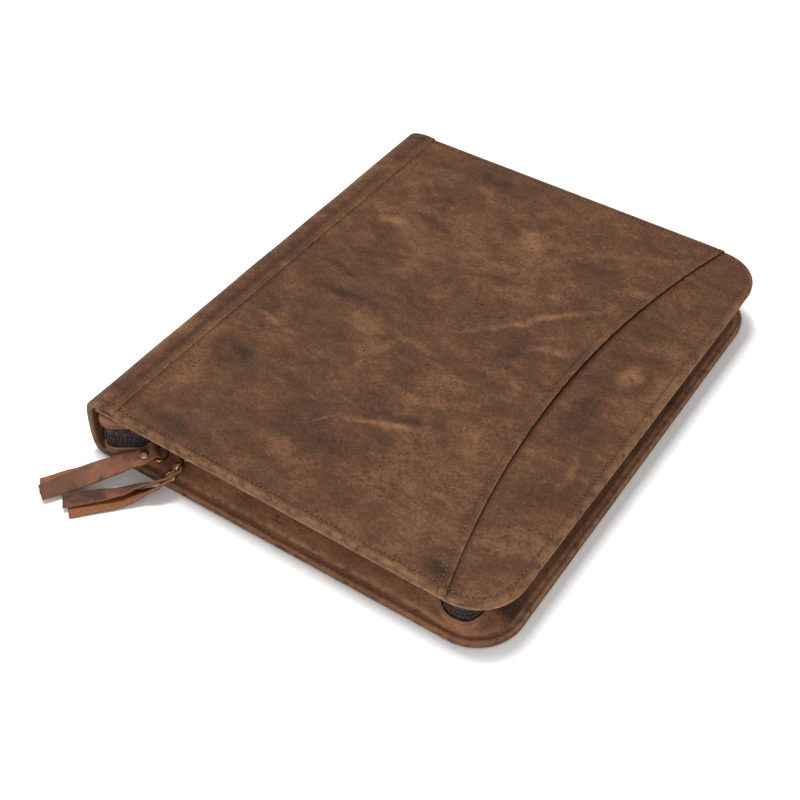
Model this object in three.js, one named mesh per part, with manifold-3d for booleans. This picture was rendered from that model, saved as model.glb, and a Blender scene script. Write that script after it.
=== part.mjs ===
// A zip-round leather document case, closed and lying on its back cover.
// Two leather-covered boards are joined by a padded spine. A leather gusset follows the other three
// edges of each cover and carries one half of a coil zip. The front cover has an outer pocket panel
// with a curved mouth. Two sliders stand near the spine, each with a link, a D-ring and a folded
// leather pull that a rivet holds together.
// Millimetres, +Z up. X runs from the spine to the fore edge and Y along the spine.
// The origin is on the surface, under the middle of the case without its pulls.

import * as THREE from "three";
import { mergeVertices } from "three/addons/utils/BufferGeometryUtils.js";
import Module from "manifold-3d";

const wasm = await Module();
wasm.setup();

// Case.
const CASE_LENGTH = 345; // along the spine
const COVER_WIDTH = 262; // from the spine seam to the fore edge
const CASE_HEIGHT = 44.6; // to the top of the pocket panel, at the seam
const CORNER_RADIUS = 30; // of the covers, at the fore edge
const COVER_THICKNESS = 5; // board between two leathers
const COVER_RIM = 2.2; // rounding of a cover's turned edge
const EDGE_FLAT = 0.2; // least upright flat between its roundings
const LEATHER = 1.6; // one layer of hide
const CLEARANCE = 0.3; // between pieces that touch

// The front cover lies lower at its fore edge and a little askew.
const FRONT_DROP = 2.1;
const FRONT_SHIFT = 1.3;
const FRONT_SKEW = THREE.MathUtils.degToRad(0.41);

// Spine.
const SPINE_DEPTH = 25; // its outer face beyond the seam
const SPINE_WALL = 4.6; // leather, board and lining
const SPINE_STEP = 1; // how far it stands over the front cover
const SPINE_RIM = 1.4; // rounding of its turned ends

// Pocket on the front cover.
const POCKET_LEATHER = 1.3;
const MOUTH_AT_MIDDLE = 206.5; // from the seam to the mouth, half way along the case
const MOUTH_AT_ENDS = 231.5; // from the seam to the mouth, at the cover's edge

// Gusset and zip.
const GUSSET_START = 14.5; // how far the gusset runs into the spine, past the seam
const GUSSET_FLANGE = 1; // from the cover's edge to the gusset's sewn edge
const GUSSET_STITCH = 5.5; // from the cover's edge to its seam
const GUSSET_RIM = 21.5; // from the cover's edge to the gusset's rim, on the straight runs
const BACK_GUSSET_RISE = 8.9; // from the flange to the rim
const FRONT_GUSSET_RISE = 6.5;
const GUSSET_UPSTAND = 3.2; // upright band at the rim, where the tape is sewn
const SPINE_FOLDS = 49.3; // length of the gusset that folds up by the spine
const CORNER_FOLDS = 24.65; // the same before a corner
const ZIP_TAPE = 0.8; // thickness
const TAPE_LAP = 2.6; // how much of it lies behind the gusset
const CHAIN_WIDTH = 5.6;
const CHAIN_THICKNESS = 2.4;
const CHAIN_LEVEL = 20; // height of its middle

// Sliders, rings and pulls.
const SLIDER_LENGTH = 13;
const SLIDER_WIDTH = 8;
const SLIDER_PLATE = 1.4;
const SLIDER_NECK = 2.4;
const SLIDER_SPACING = 15;
const FIRST_SLIDER = 33.5; // from the seam
const BAIL_RISE = 4;
const BAIL_SPAN = 8;
const BAIL_BAR = 1; // thickness and width
const LINK_WIRE = 1.1;
const LINK_TURN = 0.7; // how far a link stands up from across the ring's bow
const LINK_WIDTH = 5.2; // between the middles of its long sides
const RING_WIRE = 1.8;
const RING_DEPTH = 8.4; // from the middle of its bar to the middle of its bow
const PULL_WIDTH = 12.2;
const PULL_LENGTH = 75; // from the ring's bar to a tip
const PULL_LEATHER = 1.7;
const RIVET_HEAD = 6.4; // diameter
const RIVET_DOME = 1.4; // height of a head
const RIVET_SHANK = 2.4; // diameter

// Facets.
const CORNER_STEPS = 9;
const RIM_STEPS = 3;
const MOUTH_STEPS = 20;
const FOLD_STEPS = 2;
const PULL_STEPS = 3;
const WIRE_SIDES = 6;

// Levels and lengths that follow.
const HALF_LENGTH = CASE_LENGTH / 2;
const FRONT_UNDERSIDE = CASE_HEIGHT - COVER_THICKNESS;
const BASE_TOP = CASE_HEIGHT - POCKET_LEATHER - CLEARANCE;
const FLANGE_LIFT = CLEARANCE + LEATHER / 2;
const BACK_RIM_LEVEL = COVER_THICKNESS + FLANGE_LIFT + BACK_GUSSET_RISE;
const FRONT_RIM_LEVEL = FRONT_UNDERSIDE - FLANGE_LIFT - FRONT_GUSSET_RISE;
const ZIP_BEHIND_RIM = LEATHER / 2 + CLEARANCE + ZIP_TAPE / 2 + 0.5;
const NEAR_RUN = GUSSET_START + COVER_WIDTH - CORNER_RADIUS;
const CORNER_RUN = (Math.PI / 2) * CORNER_RADIUS;
const FORE_RUN = CASE_LENGTH - 2 * CORNER_RADIUS;
const HALF_ROUTE = NEAR_RUN + CORNER_RUN + FORE_RUN / 2;

// Outside of the spine, from the front seam round to the back seam.
// x is a share of SPINE_DEPTH away from the seam and z a share of the spine's height.
const SPINE_PROFILE = [
  { x: -CLEARANCE / SPINE_DEPTH, z: 1 },
  { x: -0.3, z: 1 },
  { x: -0.58, z: 0.977 },
  { x: -0.75, z: 0.937 },
  { x: -0.865, z: 0.872 },
  { x: -0.935, z: 0.76 },
  { x: -0.985, z: 0.55 },
  { x: -1, z: 0.3 },
  { x: -0.965, z: 0.13 },
  { x: -0.85, z: 0.032 },
  { x: -0.62, z: 0 },
  { x: -CLEARANCE / SPINE_DEPTH, z: 0 },
];

// How the gusset lies along its route. share is the place on a stretch: from the spine as a share of
// SPINE_FOLDS, before the corner as one of CORNER_FOLDS, or of the corner's or fore edge's own length.
// inset is the rim's distance from the cover's edge as a share of GUSSET_RIM, and stand is 1 where the
// gusset is upright.
const GUSSET_FOLDS = [
  { stretch: "spine", share: 0, inset: 0.14, stand: 1 },
  { stretch: "spine", share: 0.1, inset: -0.1, stand: 1 },
  { stretch: "spine", share: 0.215, inset: -0.08, stand: 1 },
  { stretch: "spine", share: 0.315, inset: 0.05, stand: 1 },
  { stretch: "spine", share: 0.44, inset: 0.25, stand: 1 },
  { stretch: "spine", share: 0.62, inset: 0.52, stand: 0.6 },
  { stretch: "spine", share: 0.81, inset: 0.83, stand: 0.2 },
  { stretch: "spine", share: 1, inset: 0.98, stand: 0 },
  { stretch: "spine", share: 1.3, inset: 1, stand: 0 },
  { stretch: "before", share: 1.4, inset: 1, stand: 0 },
  { stretch: "before", share: 0.8, inset: 0.84, stand: 0.2 },
  { stretch: "before", share: 0.45, inset: 0.54, stand: 0.7 },
  { stretch: "before", share: 0.25, inset: 0.36, stand: 1 },
  { stretch: "corner", share: 0, inset: 0.3, stand: 1 },
  { stretch: "corner", share: 0.2, inset: 0.33, stand: 1 },
  { stretch: "corner", share: 0.4, inset: 0.51, stand: 0.8 },
  { stretch: "corner", share: 0.7, inset: 0.78, stand: 0.4 },
  { stretch: "corner", share: 1, inset: 0.93, stand: 0.1 },
  { stretch: "fore", share: 0.08, inset: 1, stand: 0 },
  { stretch: "fore", share: 0.5, inset: 1, stand: 0 },
];

// Where the pulls lie. bar is the middle of the ring's straight side, in millimetres from the pull's
// own slider, the case's near end and the middle of the chain. rivet is in millimetres from the bar.
// The tails are shares of PULL_LENGTH from the bar, and bow points to the ring's far side.
// roll is in degrees and lifts the edge that is away from the case.
const PULLS = [
  {
    bar: { x: -8.9, y: 6.975, z: 1.75, roll: -6 },
    rivet: { x: -5.1, y: -6.75, z: -2.625, roll: -6 },
    bow: { x: 0.09, y: 0.07, z: -0.015 },
    upper: [
      { x: -0.214, y: -0.178, z: -0.11, roll: -14 },
      { x: -0.363, y: -0.322, z: -0.174, roll: -18 },
      { x: -0.496, y: -0.481, z: -0.22, roll: -14 },
      { x: -0.647, y: -0.712, z: -0.245, roll: 0 },
    ],
    lower: [
      { x: -0.224, y: -0.184, z: -0.142, roll: -14 },
      { x: -0.383, y: -0.325, z: -0.207, roll: -17 },
      { x: -0.54, y: -0.46, z: -0.254, roll: -6 },
      { x: -0.733, y: -0.64, z: -0.272, roll: 0 },
    ],
  },
  {
    bar: { x: -6.65, y: 7.2, z: -1.025, roll: 54 },
    rivet: { x: -2.325, y: -6.375, z: -4.2, roll: 46 },
    bow: { x: 0.02, y: 0.08, z: 0.06 },
    upper: [
      { x: -0.145, y: -0.179, z: -0.131, roll: 42 },
      { x: -0.255, y: -0.239, z: -0.178, roll: 38 },
      { x: -0.363, y: -0.367, z: -0.198, roll: 27 },
      { x: -0.489, y: -0.488, z: -0.206, roll: 18 },
      { x: -0.677, y: -0.675, z: -0.215, roll: 14 },
    ],
    lower: [
      { x: -0.097, y: -0.201, z: -0.141, roll: 40 },
      { x: -0.18, y: -0.264, z: -0.191, roll: 30 },
      { x: -0.258, y: -0.343, z: -0.22, roll: 14 },
      { x: -0.329, y: -0.421, z: -0.232, roll: 4 },
      { x: -0.449, y: -0.547, z: -0.235, roll: 0 },
      { x: -0.594, y: -0.705, z: -0.235, roll: 0 },
    ],
  },
];

// Materials.
const leather = new THREE.MeshStandardMaterial({ color: 0x6b4a35, roughness: 0.7 });
const pullLeather = new THREE.MeshStandardMaterial({ color: 0x77503a, roughness: 0.75 });
const tapeCloth = new THREE.MeshStandardMaterial({ color: 0x2c2528, roughness: 0.95 });
const coilPlastic = new THREE.MeshStandardMaterial({ color: 0x1d1a1c, roughness: 0.45 });
const brass = new THREE.MeshStandardMaterial({ color: 0x94804f, roughness: 0.35, metalness: 1 });

// A closed geometry from points and triangles, with its faces turned outwards.
function closedGeometry(points, triangles) {
  let volume = 0;
  for (const [i, j, k] of triangles) {
    const [a, b, c] = [points[i], points[j], points[k]].map((p) => new THREE.Vector3(...p));
    volume += a.dot(b.cross(c));
  }
  const outward = volume < 0 ? triangles.map(([i, j, k]) => [i, k, j]) : triangles;
  const geometry = new THREE.BufferGeometry();
  geometry.setAttribute("position", new THREE.Float32BufferAttribute(points.flat(), 3));
  geometry.setIndex(outward.flat());
  return geometry;
}

// Triangles between rings of equally many points, as numbers into the rings laid end to end.
function ringTriangles(ringCount, size, closed) {
  const triangles = [];
  const spans = closed ? ringCount : ringCount - 1;
  for (let ring = 0; ring < spans; ring++) {
    const [here, there] = [ring * size, ((ring + 1) % ringCount) * size];
    for (let i = 0; i < size; i++) {
      const next = (i + 1) % size;
      triangles.push([here + i, here + next, there + next]);
      triangles.push([here + i, there + next, there + i]);
    }
  }
  return triangles;
}

// A tube through rings of points, closed at both ends. flat() gives the end rings' flat outlines.
function loft(rings, flat) {
  const size = rings[0].length;
  const triangles = ringTriangles(rings.length, size, false);
  for (const ring of [0, rings.length - 1]) {
    const outline = flat(ring).map(([u, v]) => new THREE.Vector2(u, v));
    const clockwise = THREE.ShapeUtils.area(outline) < 0;
    for (const face of THREE.ShapeUtils.triangulateShape(outline, [])) {
      const numbers = face.map((n) => n + ring * size);
      triangles.push(clockwise === (ring === 0) ? numbers : numbers.reverse());
    }
  }
  return closedGeometry(rings.flat(), triangles);
}

// A round wire along a closed flat path of vectors, whose plane has the given normal.
function closedWire(path, normal, diameter) {
  const rings = path.map((point, i) => {
    const ahead = path[(i + 1) % path.length];
    const behind = path[(i + path.length - 1) % path.length];
    const side = ahead.clone().sub(behind).cross(normal).normalize();
    const ring = [];
    for (let k = 0; k < WIRE_SIDES; k++) {
      const turn = (2 * Math.PI * k) / WIRE_SIDES;
      const offset = side.clone().multiplyScalar(Math.cos(turn));
      offset.addScaledVector(normal, Math.sin(turn)).multiplyScalar(diameter / 2);
      ring.push(offset.add(point).toArray());
    }
    return ring;
  });
  return closedGeometry(rings.flat(), ringTriangles(rings.length, WIRE_SIDES, true));
}

// Geometry to a solid that can be cut and joined, and back.
function toSolid(geometry) {
  const bare = geometry.clone();
  bare.deleteAttribute("normal");
  bare.deleteAttribute("uv");
  const merged = mergeVertices(bare, 1e-4);
  return new wasm.Manifold(
    new wasm.Mesh({
      numProp: 3,
      vertProperties: new Float32Array(merged.attributes.position.array),
      triVerts: new Uint32Array(merged.index.array),
    }),
  );
}

function fromSolid(solid) {
  const mesh = solid.getMesh();
  const geometry = new THREE.BufferGeometry();
  geometry.setAttribute("position", new THREE.Float32BufferAttribute(mesh.vertProperties, 3));
  geometry.setIndex(new THREE.Uint32BufferAttribute(mesh.triVerts, 1));
  return geometry;
}

function block(low, high) {
  const geometry = new THREE.BoxGeometry(high[0] - low[0], high[1] - low[1], high[2] - low[2]);
  geometry.translate((low[0] + high[0]) / 2, (low[1] + high[1]) / 2, (low[2] + high[2]) / 2);
  return toSolid(geometry);
}

// Covers.
// The outline of a cover, drawn in by inset, from the near end of its spine edge round the fore edge.
function coverOutline(inset, spineEdge) {
  const points = [[spineEdge, -HALF_LENGTH + inset]];
  const radius = CORNER_RADIUS - inset;
  for (const side of [-1, 1]) {
    const centreY = side * (HALF_LENGTH - CORNER_RADIUS);
    for (let step = 0; step <= CORNER_STEPS; step++) {
      const turn = ((side - 1) / 2 + step / CORNER_STEPS) * (Math.PI / 2);
      const x = COVER_WIDTH - CORNER_RADIUS + radius * Math.cos(turn);
      points.push([x, centreY + radius * Math.sin(turn)]);
    }
  }
  points.push([spineEdge, HALF_LENGTH - inset]);
  return points;
}

// A plate of a cover's outline between two levels, with a rounded edge. grown is how far it stands
// out all round.
function coverPlate(low, high, grown = 0) {
  const rim = Math.min(COVER_RIM, (high - low - EDGE_FLAT) / 2);
  const rings = [];
  for (const [level, sense] of [[low, 1], [high, -1]]) {
    const edge = [];
    for (let step = 0; step <= RIM_STEPS; step++) {
      const turn = (step / RIM_STEPS) * (Math.PI / 2);
      const z = level + sense * rim * (1 - Math.cos(turn));
      const outline = coverOutline(rim * (1 - Math.sin(turn)) - grown, CLEARANCE - 2 * grown);
      edge.push(outline.map(([x, y]) => [x, y, z]));
    }
    rings.push(...(sense > 0 ? edge : edge.reverse()));
  }
  return loft(rings, (ring) => rings[ring]);
}

// The spine's side of the pocket mouth, as a tall block. The mouth is an arc of a circle.
function spineSideOfMouth() {
  const sagitta = MOUTH_AT_ENDS - MOUTH_AT_MIDDLE;
  const radius = (HALF_LENGTH ** 2 + sagitta ** 2) / (2 * sagitta);
  const half = Math.asin((HALF_LENGTH + CORNER_RADIUS) / radius);
  const outline = new THREE.Shape();
  outline.moveTo(-CASE_LENGTH, -CASE_LENGTH);
  for (let step = 0; step <= MOUTH_STEPS; step++) {
    const turn = half * ((2 * step) / MOUTH_STEPS - 1);
    const x = MOUTH_AT_MIDDLE + radius * (1 - Math.cos(turn));
    outline.lineTo(x, radius * Math.sin(turn));
  }
  outline.lineTo(-CASE_LENGTH, CASE_LENGTH);
  return toSolid(new THREE.ExtrudeGeometry(outline, { depth: 2 * CASE_HEIGHT, bevelEnabled: false }));
}

// The pocket panel lies on the front cover's board and turns down round the same edge.
const frontBoard = coverPlate(FRONT_UNDERSIDE, BASE_TOP);
const boardRoom = toSolid(coverPlate(FRONT_UNDERSIDE - 1, BASE_TOP + CLEARANCE, CLEARANCE));
const frontPlate = toSolid(coverPlate(FRONT_UNDERSIDE, CASE_HEIGHT));
const frontPocket = frontPlate.intersect(spineSideOfMouth()).subtract(boardRoom);

// Spine.
// The spine's section, thinned by shrink on both faces.
function spineSection(shrink) {
  const height = CASE_HEIGHT + SPINE_STEP;
  const outer = SPINE_PROFILE.map(({ x, z }) => [x * SPINE_DEPTH, z * height]);
  const moved = (distance) =>
    outer.map(([x, z], i) => {
      const [before, after] = [outer[Math.max(i - 1, 0)], outer[Math.min(i + 1, outer.length - 1)]];
      const [dx, dz] = [after[0] - before[0], after[1] - before[1]];
      const run = Math.hypot(dx, dz);
      return [x - (distance * dz) / run, z + (distance * dx) / run];
    });
  return [...moved(shrink), ...moved(SPINE_WALL - shrink).reverse()];
}

function spineGeometry() {
  const rings = [];
  const sections = [];
  for (const side of [-1, 1]) {
    const end = [];
    for (let step = 0; step <= RIM_STEPS; step++) {
      const turn = (step / RIM_STEPS) * (Math.PI / 2);
      const y = side * (HALF_LENGTH - SPINE_RIM * (1 - Math.cos(turn)));
      end.push({ y, section: spineSection(SPINE_RIM * (1 - Math.sin(turn))) });
    }
    for (const { y, section } of side < 0 ? end : end.reverse()) {
      rings.push(section.map(([x, z]) => [x, y, z]));
      sections.push(section);
    }
  }
  return loft(rings, (ring) => sections[ring]);
}

// Gusset and zip.
// A point on the covers' edge and the way inwards from it. The far half mirrors the near half.
function edgeAt(route) {
  const s = Math.min(route, 2 * HALF_ROUTE - route);
  const side = route > HALF_ROUTE ? -1 : 1;
  const turn = THREE.MathUtils.clamp((s - NEAR_RUN) / CORNER_RADIUS, 0, Math.PI / 2);
  const past = Math.max(s - NEAR_RUN - CORNER_RUN, 0);
  const y = -HALF_LENGTH + CORNER_RADIUS * (1 - Math.cos(turn)) + past;
  return {
    x: Math.min(s, NEAR_RUN) - GUSSET_START + CORNER_RADIUS * Math.sin(turn),
    y: side * y,
    inX: -Math.sin(turn),
    inY: side * Math.cos(turn),
  };
}

const stretches = {
  spine: { start: 0, length: SPINE_FOLDS },
  before: { start: NEAR_RUN, length: -CORNER_FOLDS },
  corner: { start: NEAR_RUN, length: CORNER_RUN },
  fore: { start: NEAR_RUN + CORNER_RUN, length: FORE_RUN },
};
const folds = GUSSET_FOLDS.map(({ stretch, share, inset, stand }) => ({
  at: stretches[stretch].start + share * stretches[stretch].length,
  rim: inset * GUSSET_RIM,
  stand,
}));

// A column of the folds at a place on the route, with no overshoot between rows.
function foldValue(at, column) {
  const last = folds.length - 1;
  let i = 0;
  while (i < last - 1 && folds[i + 1].at < at) i++;
  const slope = (k) => {
    if (k === 0 || k === last) return 0;
    const [a, b, c] = [folds[k - 1], folds[k], folds[k + 1]];
    const before = (b[column] - a[column]) / (b.at - a.at);
    const after = (c[column] - b[column]) / (c.at - b.at);
    return before * after <= 0 ? 0 : (2 * before * after) / (before + after);
  };
  const width = folds[i + 1].at - folds[i].at;
  const t = (at - folds[i].at) / width;
  return (
    (1 + 2 * t) * (1 - t) ** 2 * folds[i][column] +
    t * (1 - t) ** 2 * width * slope(i) +
    t * t * (3 - 2 * t) * folds[i + 1][column] +
    t * t * (t - 1) * width * slope(i + 1)
  );
}

function foldAt(route) {
  const s = Math.min(route, 2 * HALF_ROUTE - route);
  return { rim: foldValue(s, "rim"), stand: foldValue(s, "stand") };
}

// Stations along the route, the same number between each two rows of the folds.
const halfStations = folds.slice(0, -1).flatMap(({ at }, i) => {
  const width = folds[i + 1].at - at;
  return Array.from({ length: FOLD_STEPS }, (_, step) => at + (step / FOLD_STEPS) * width);
});
const mirrored = halfStations.map((s) => 2 * HALF_ROUTE - s).reverse();
const stations = [...halfStations, HALF_ROUTE, ...mirrored];

// A wall of even thickness round the route. line() gives the middle line of its section, as
// distances in from the cover's edge and heights.
function routeWall(line, thickness) {
  const sections = stations.map((route) => {
    const middle = line(foldAt(route));
    const face = (side) =>
      middle.map(([inset, z], i) => {
        const [a, b] = [middle[Math.max(i - 1, 0)], middle[Math.min(i + 1, middle.length - 1)]];
        const [run, rise] = [b[0] - a[0], b[1] - a[1]];
        const scale = (side * thickness) / 2 / Math.hypot(run, rise);
        return [inset - scale * rise, z + scale * run];
      });
    return [...face(1), ...face(-1).reverse()];
  });
  const rings = sections.map((section, i) => {
    const edge = edgeAt(stations[i]);
    return section.map(([inset, z]) => [edge.x + edge.inX * inset, edge.y + edge.inY * inset, z]);
  });
  return loft(rings, (ring) => sections[ring]);
}

// A gusset: a flange sewn to a cover's inner face, a fold and an upstand that carries the tape.
// sense is 1 for the back cover's gusset, which rises, and -1 for the front cover's.
function gussetGeometry(face, sense, rise) {
  const line = ({ rim, stand }) => {
    const level = face + sense * FLANGE_LIFT;
    const bend = THREE.MathUtils.lerp(4, 0.2, stand);
    const lift = THREE.MathUtils.lerp(0.2, 0.28, stand);
    return [
      [GUSSET_FLANGE, level],
      [GUSSET_STITCH - stand, level],
      [GUSSET_STITCH + bend, level + sense * rise * lift],
      [rim, level + sense * (rise - GUSSET_UPSTAND)],
      [rim, level + sense * rise],
    ];
  };
  return routeWall(line, LEATHER);
}

// An upright band of the zip between two levels.
function zipBand(low, high, thickness) {
  const line = ({ rim }) => [
    [rim + ZIP_BEHIND_RIM, low],
    [rim + ZIP_BEHIND_RIM, high],
  ];
  return routeWall(line, thickness);
}

const chainLow = CHAIN_LEVEL - CHAIN_WIDTH / 2;
const chainHigh = CHAIN_LEVEL + CHAIN_WIDTH / 2;

// Sliders.
// Axes on the zip at a distance from the seam: along the chain, out of the case and down.
function zipAxes(fromSeam) {
  const at = (route) => {
    const edge = edgeAt(route);
    const inset = foldAt(route).rim + ZIP_BEHIND_RIM;
    return new THREE.Vector3(edge.x + edge.inX * inset, edge.y + edge.inY * inset, CHAIN_LEVEL);
  };
  const route = GUSSET_START + fromSeam;
  const reach = SLIDER_LENGTH / 2;
  const along = at(route + reach).sub(at(route - reach)).normalize();
  const down = new THREE.Vector3(0, 0, -1);
  const out = new THREE.Vector3().crossVectors(down, along);
  return new THREE.Matrix4().makeBasis(along, out, down).setPosition(at(route));
}

const plateInside = CHAIN_THICKNESS / 2 + CLEARANCE + 0.8;
const plateOutside = plateInside + SLIDER_PLATE;

// A slider: two plates, the neck between them and a bail on the outer plate.
function sliderSolid() {
  const half = SLIDER_LENGTH / 2;
  const outline = new THREE.Shape();
  outline.moveTo(-half, -SLIDER_WIDTH * 0.36);
  outline.lineTo(half * 0.6, -SLIDER_WIDTH / 2);
  outline.lineTo(half, -SLIDER_WIDTH * 0.3);
  outline.lineTo(half, SLIDER_WIDTH * 0.3);
  outline.lineTo(half * 0.6, SLIDER_WIDTH / 2);
  outline.lineTo(-half, SLIDER_WIDTH * 0.36);
  const settings = { depth: SLIDER_PLATE, bevelEnabled: false };
  const plate = new THREE.ExtrudeGeometry(outline, settings).rotateX(Math.PI / 2);
  const front = toSolid(plate.clone().translate(0, plateOutside, 0));
  const back = toSolid(plate.clone().translate(0, -plateInside, 0));
  const neck = block(
    [-SLIDER_NECK / 2, -plateInside - 0.1, -SLIDER_NECK / 2],
    [SLIDER_NECK / 2, plateInside + 0.1, SLIDER_NECK / 2],
  );
  const foot = plateOutside - 0.2;
  const arch = block(
    [-BAIL_SPAN / 2, foot, -BAIL_BAR / 2],
    [BAIL_SPAN / 2, plateOutside + BAIL_RISE, BAIL_BAR / 2],
  );
  const hole = block(
    [-BAIL_SPAN / 2 + BAIL_BAR, plateOutside, -BAIL_BAR],
    [BAIL_SPAN / 2 - BAIL_BAR, plateOutside + BAIL_RISE - BAIL_BAR, BAIL_BAR],
  );
  return front.add(back).add(neck).add(arch.subtract(hole));
}

// The place in the bail where the link's wire passes.
const bailHole = new THREE.Vector3(0, plateOutside + BAIL_RISE / 2 - 0.3, 0.3);

// Pulls.
const vector = ({ x, y, z }) => new THREE.Vector3(x, y, z);
const sliderPlace = (pull) => FIRST_SLIDER + PULLS.indexOf(pull) * SLIDER_SPACING;
const barPlace = (pull) =>
  vector(pull.bar).add(new THREE.Vector3(sliderPlace(pull), -HALF_LENGTH, CHAIN_LEVEL));
const rivetPlace = (pull) => barPlace(pull).add(vector(pull.rivet));
const tailPlace = (pull, row) => barPlace(pull).addScaledVector(vector(row), PULL_LENGTH);

// The way across a pull, towards its outer edge, from its direction and roll.
function across(direction, roll) {
  const level = new THREE.Vector3(-direction.y, direction.x, 0).normalize();
  const lifted = direction.clone().normalize().cross(level);
  const turn = THREE.MathUtils.degToRad(roll);
  return level.multiplyScalar(Math.cos(turn)).addScaledVector(lifted, Math.sin(turn));
}

// Axes at the ring's bar: across the pull, towards the rivet and out of the upper layer.
function pullAxes(pull) {
  const middle = barPlace(pull);
  const along = vector(pull.rivet).normalize();
  const width = across(along, pull.bar.roll);
  const normal = new THREE.Vector3().crossVectors(along, width);
  return { middle, along, width, normal };
}

function rivetNormal(pull) {
  const { along } = pullAxes(pull);
  return along.clone().cross(across(along, pull.rivet.roll));
}

const foldRadius = RING_WIRE / 2 + CLEARANCE + PULL_LEATHER / 2 + 0.3;
const layerOffset = PULL_LEATHER / 2 + CLEARANCE / 2;

// One tail of a pull, from the ring's bar to its tip. side is 1 for the upper tail, -1 for the lower.
function tail(pull, rows, side) {
  const { middle, along, normal } = pullAxes(pull);
  const start = middle.clone().addScaledVector(normal, side * foldRadius);
  const pinned = rivetPlace(pull).addScaledVector(rivetNormal(pull), side * layerOffset);
  const past = pinned.clone().addScaledVector(along, RIVET_HEAD / 2);
  const ends = rows.map((row) => tailPlace(pull, row));
  const curve = new THREE.CatmullRomCurve3([start, pinned, past, ...ends]);
  const { roll: rivetRoll } = pull.rivet;
  const rolls = [pull.bar.roll, rivetRoll, rivetRoll, ...rows.map(({ roll }) => roll)];
  const count = (rolls.length - 1) * PULL_STEPS;
  return Array.from({ length: count + 1 }, (_, i) => {
    const row = Math.min(Math.floor(i / PULL_STEPS), rolls.length - 2);
    const roll = THREE.MathUtils.lerp(rolls[row], rolls[row + 1], i / PULL_STEPS - row);
    const direction = curve.getTangent(i / count);
    const width = i === 0 ? pullAxes(pull).width : across(direction, roll);
    const face = i === 0 ? normal.clone() : direction.clone().cross(width);
    return { point: curve.getPoint(i / count), width, face: face.multiplyScalar(side) };
  });
}

// A pull: one strip from the upper tip round the ring's bar to the lower tip, with its rivet hole.
function pullGeometry(pull) {
  const { middle, along, width, normal } = pullAxes(pull);
  const fold = [];
  for (let step = 1; step < 2 * PULL_STEPS; step++) {
    const turn = (step / (2 * PULL_STEPS)) * Math.PI;
    const face = normal.clone().multiplyScalar(Math.cos(turn));
    face.addScaledVector(along, -Math.sin(turn));
    fold.push({ point: middle.clone().addScaledVector(face, foldRadius), width, face });
  }
  const strip = [...tail(pull, pull.upper, 1).reverse(), ...fold, ...tail(pull, pull.lower, -1)];
  const corners = [[1, 1], [-1, 1], [-1, -1], [1, -1]];
  const rings = strip.map((row) =>
    corners.map(([u, v]) =>
      row.point
        .clone()
        .addScaledVector(row.width, (u * PULL_WIDTH) / 2)
        .addScaledVector(row.face, (v * PULL_LEATHER) / 2)
        .toArray(),
    ),
  );
  const hole = new THREE.CylinderGeometry(
    RIVET_SHANK / 2 + CLEARANCE,
    RIVET_SHANK / 2 + CLEARANCE,
    3 * RIVET_SHANK,
    8,
  );
  hole.applyMatrix4(rivetMatrix(pull));
  return fromSolid(toSolid(loft(rings, () => corners)).subtract(toSolid(hole)));
}

// The rivet's own Y axis stands on the pull.
function rivetMatrix(pull) {
  const { along } = pullAxes(pull);
  const width = across(along, pull.rivet.roll);
  const normal = rivetNormal(pull);
  return new THREE.Matrix4().makeBasis(width, normal, along).setPosition(rivetPlace(pull));
}

function rivetGeometry(pull) {
  const grip = layerOffset + PULL_LEATHER / 2 + CLEARANCE + 0.35;
  const head = [
    [RIVET_SHANK / 2, grip],
    [RIVET_HEAD / 2, grip],
    [RIVET_HEAD * 0.44, grip + RIVET_DOME * 0.45],
    [RIVET_HEAD * 0.28, grip + RIVET_DOME * 0.86],
    [0, grip + RIVET_DOME],
  ];
  const foot = head.map(([r, h]) => [r, -h]).reverse();
  const profile = [...foot, ...head].map(([r, h]) => new THREE.Vector2(r, h));
  return new THREE.LatheGeometry(profile, 12).applyMatrix4(rivetMatrix(pull));
}

// The D-ring: a straight bar in the pull's fold and a bow that points to the slider.
function ringAxes(pull) {
  const { middle, width } = pullAxes(pull);
  const reach = vector(pull.bow);
  reach.addScaledVector(width, -reach.dot(width)).normalize();
  return { middle, width, reach };
}

function ringGeometry(pull) {
  const { middle, width, reach } = ringAxes(pull);
  const half = PULL_WIDTH / 2 + 2 * CLEARANCE + RING_WIRE / 2;
  const shoulder = 1.3;
  const path = [[-half + shoulder, 0], [half - shoulder, 0]];
  const steps = 10;
  for (let step = 0; step <= steps; step++) {
    const turn = (step / steps) * Math.PI;
    path.push([half * Math.cos(turn), shoulder + (RING_DEPTH - shoulder) * Math.sin(turn)]);
  }
  const points = path.map(([u, v]) =>
    middle.clone().addScaledVector(width, u).addScaledVector(reach, v),
  );
  return closedWire(points, width.clone().cross(reach), RING_WIRE);
}

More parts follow.
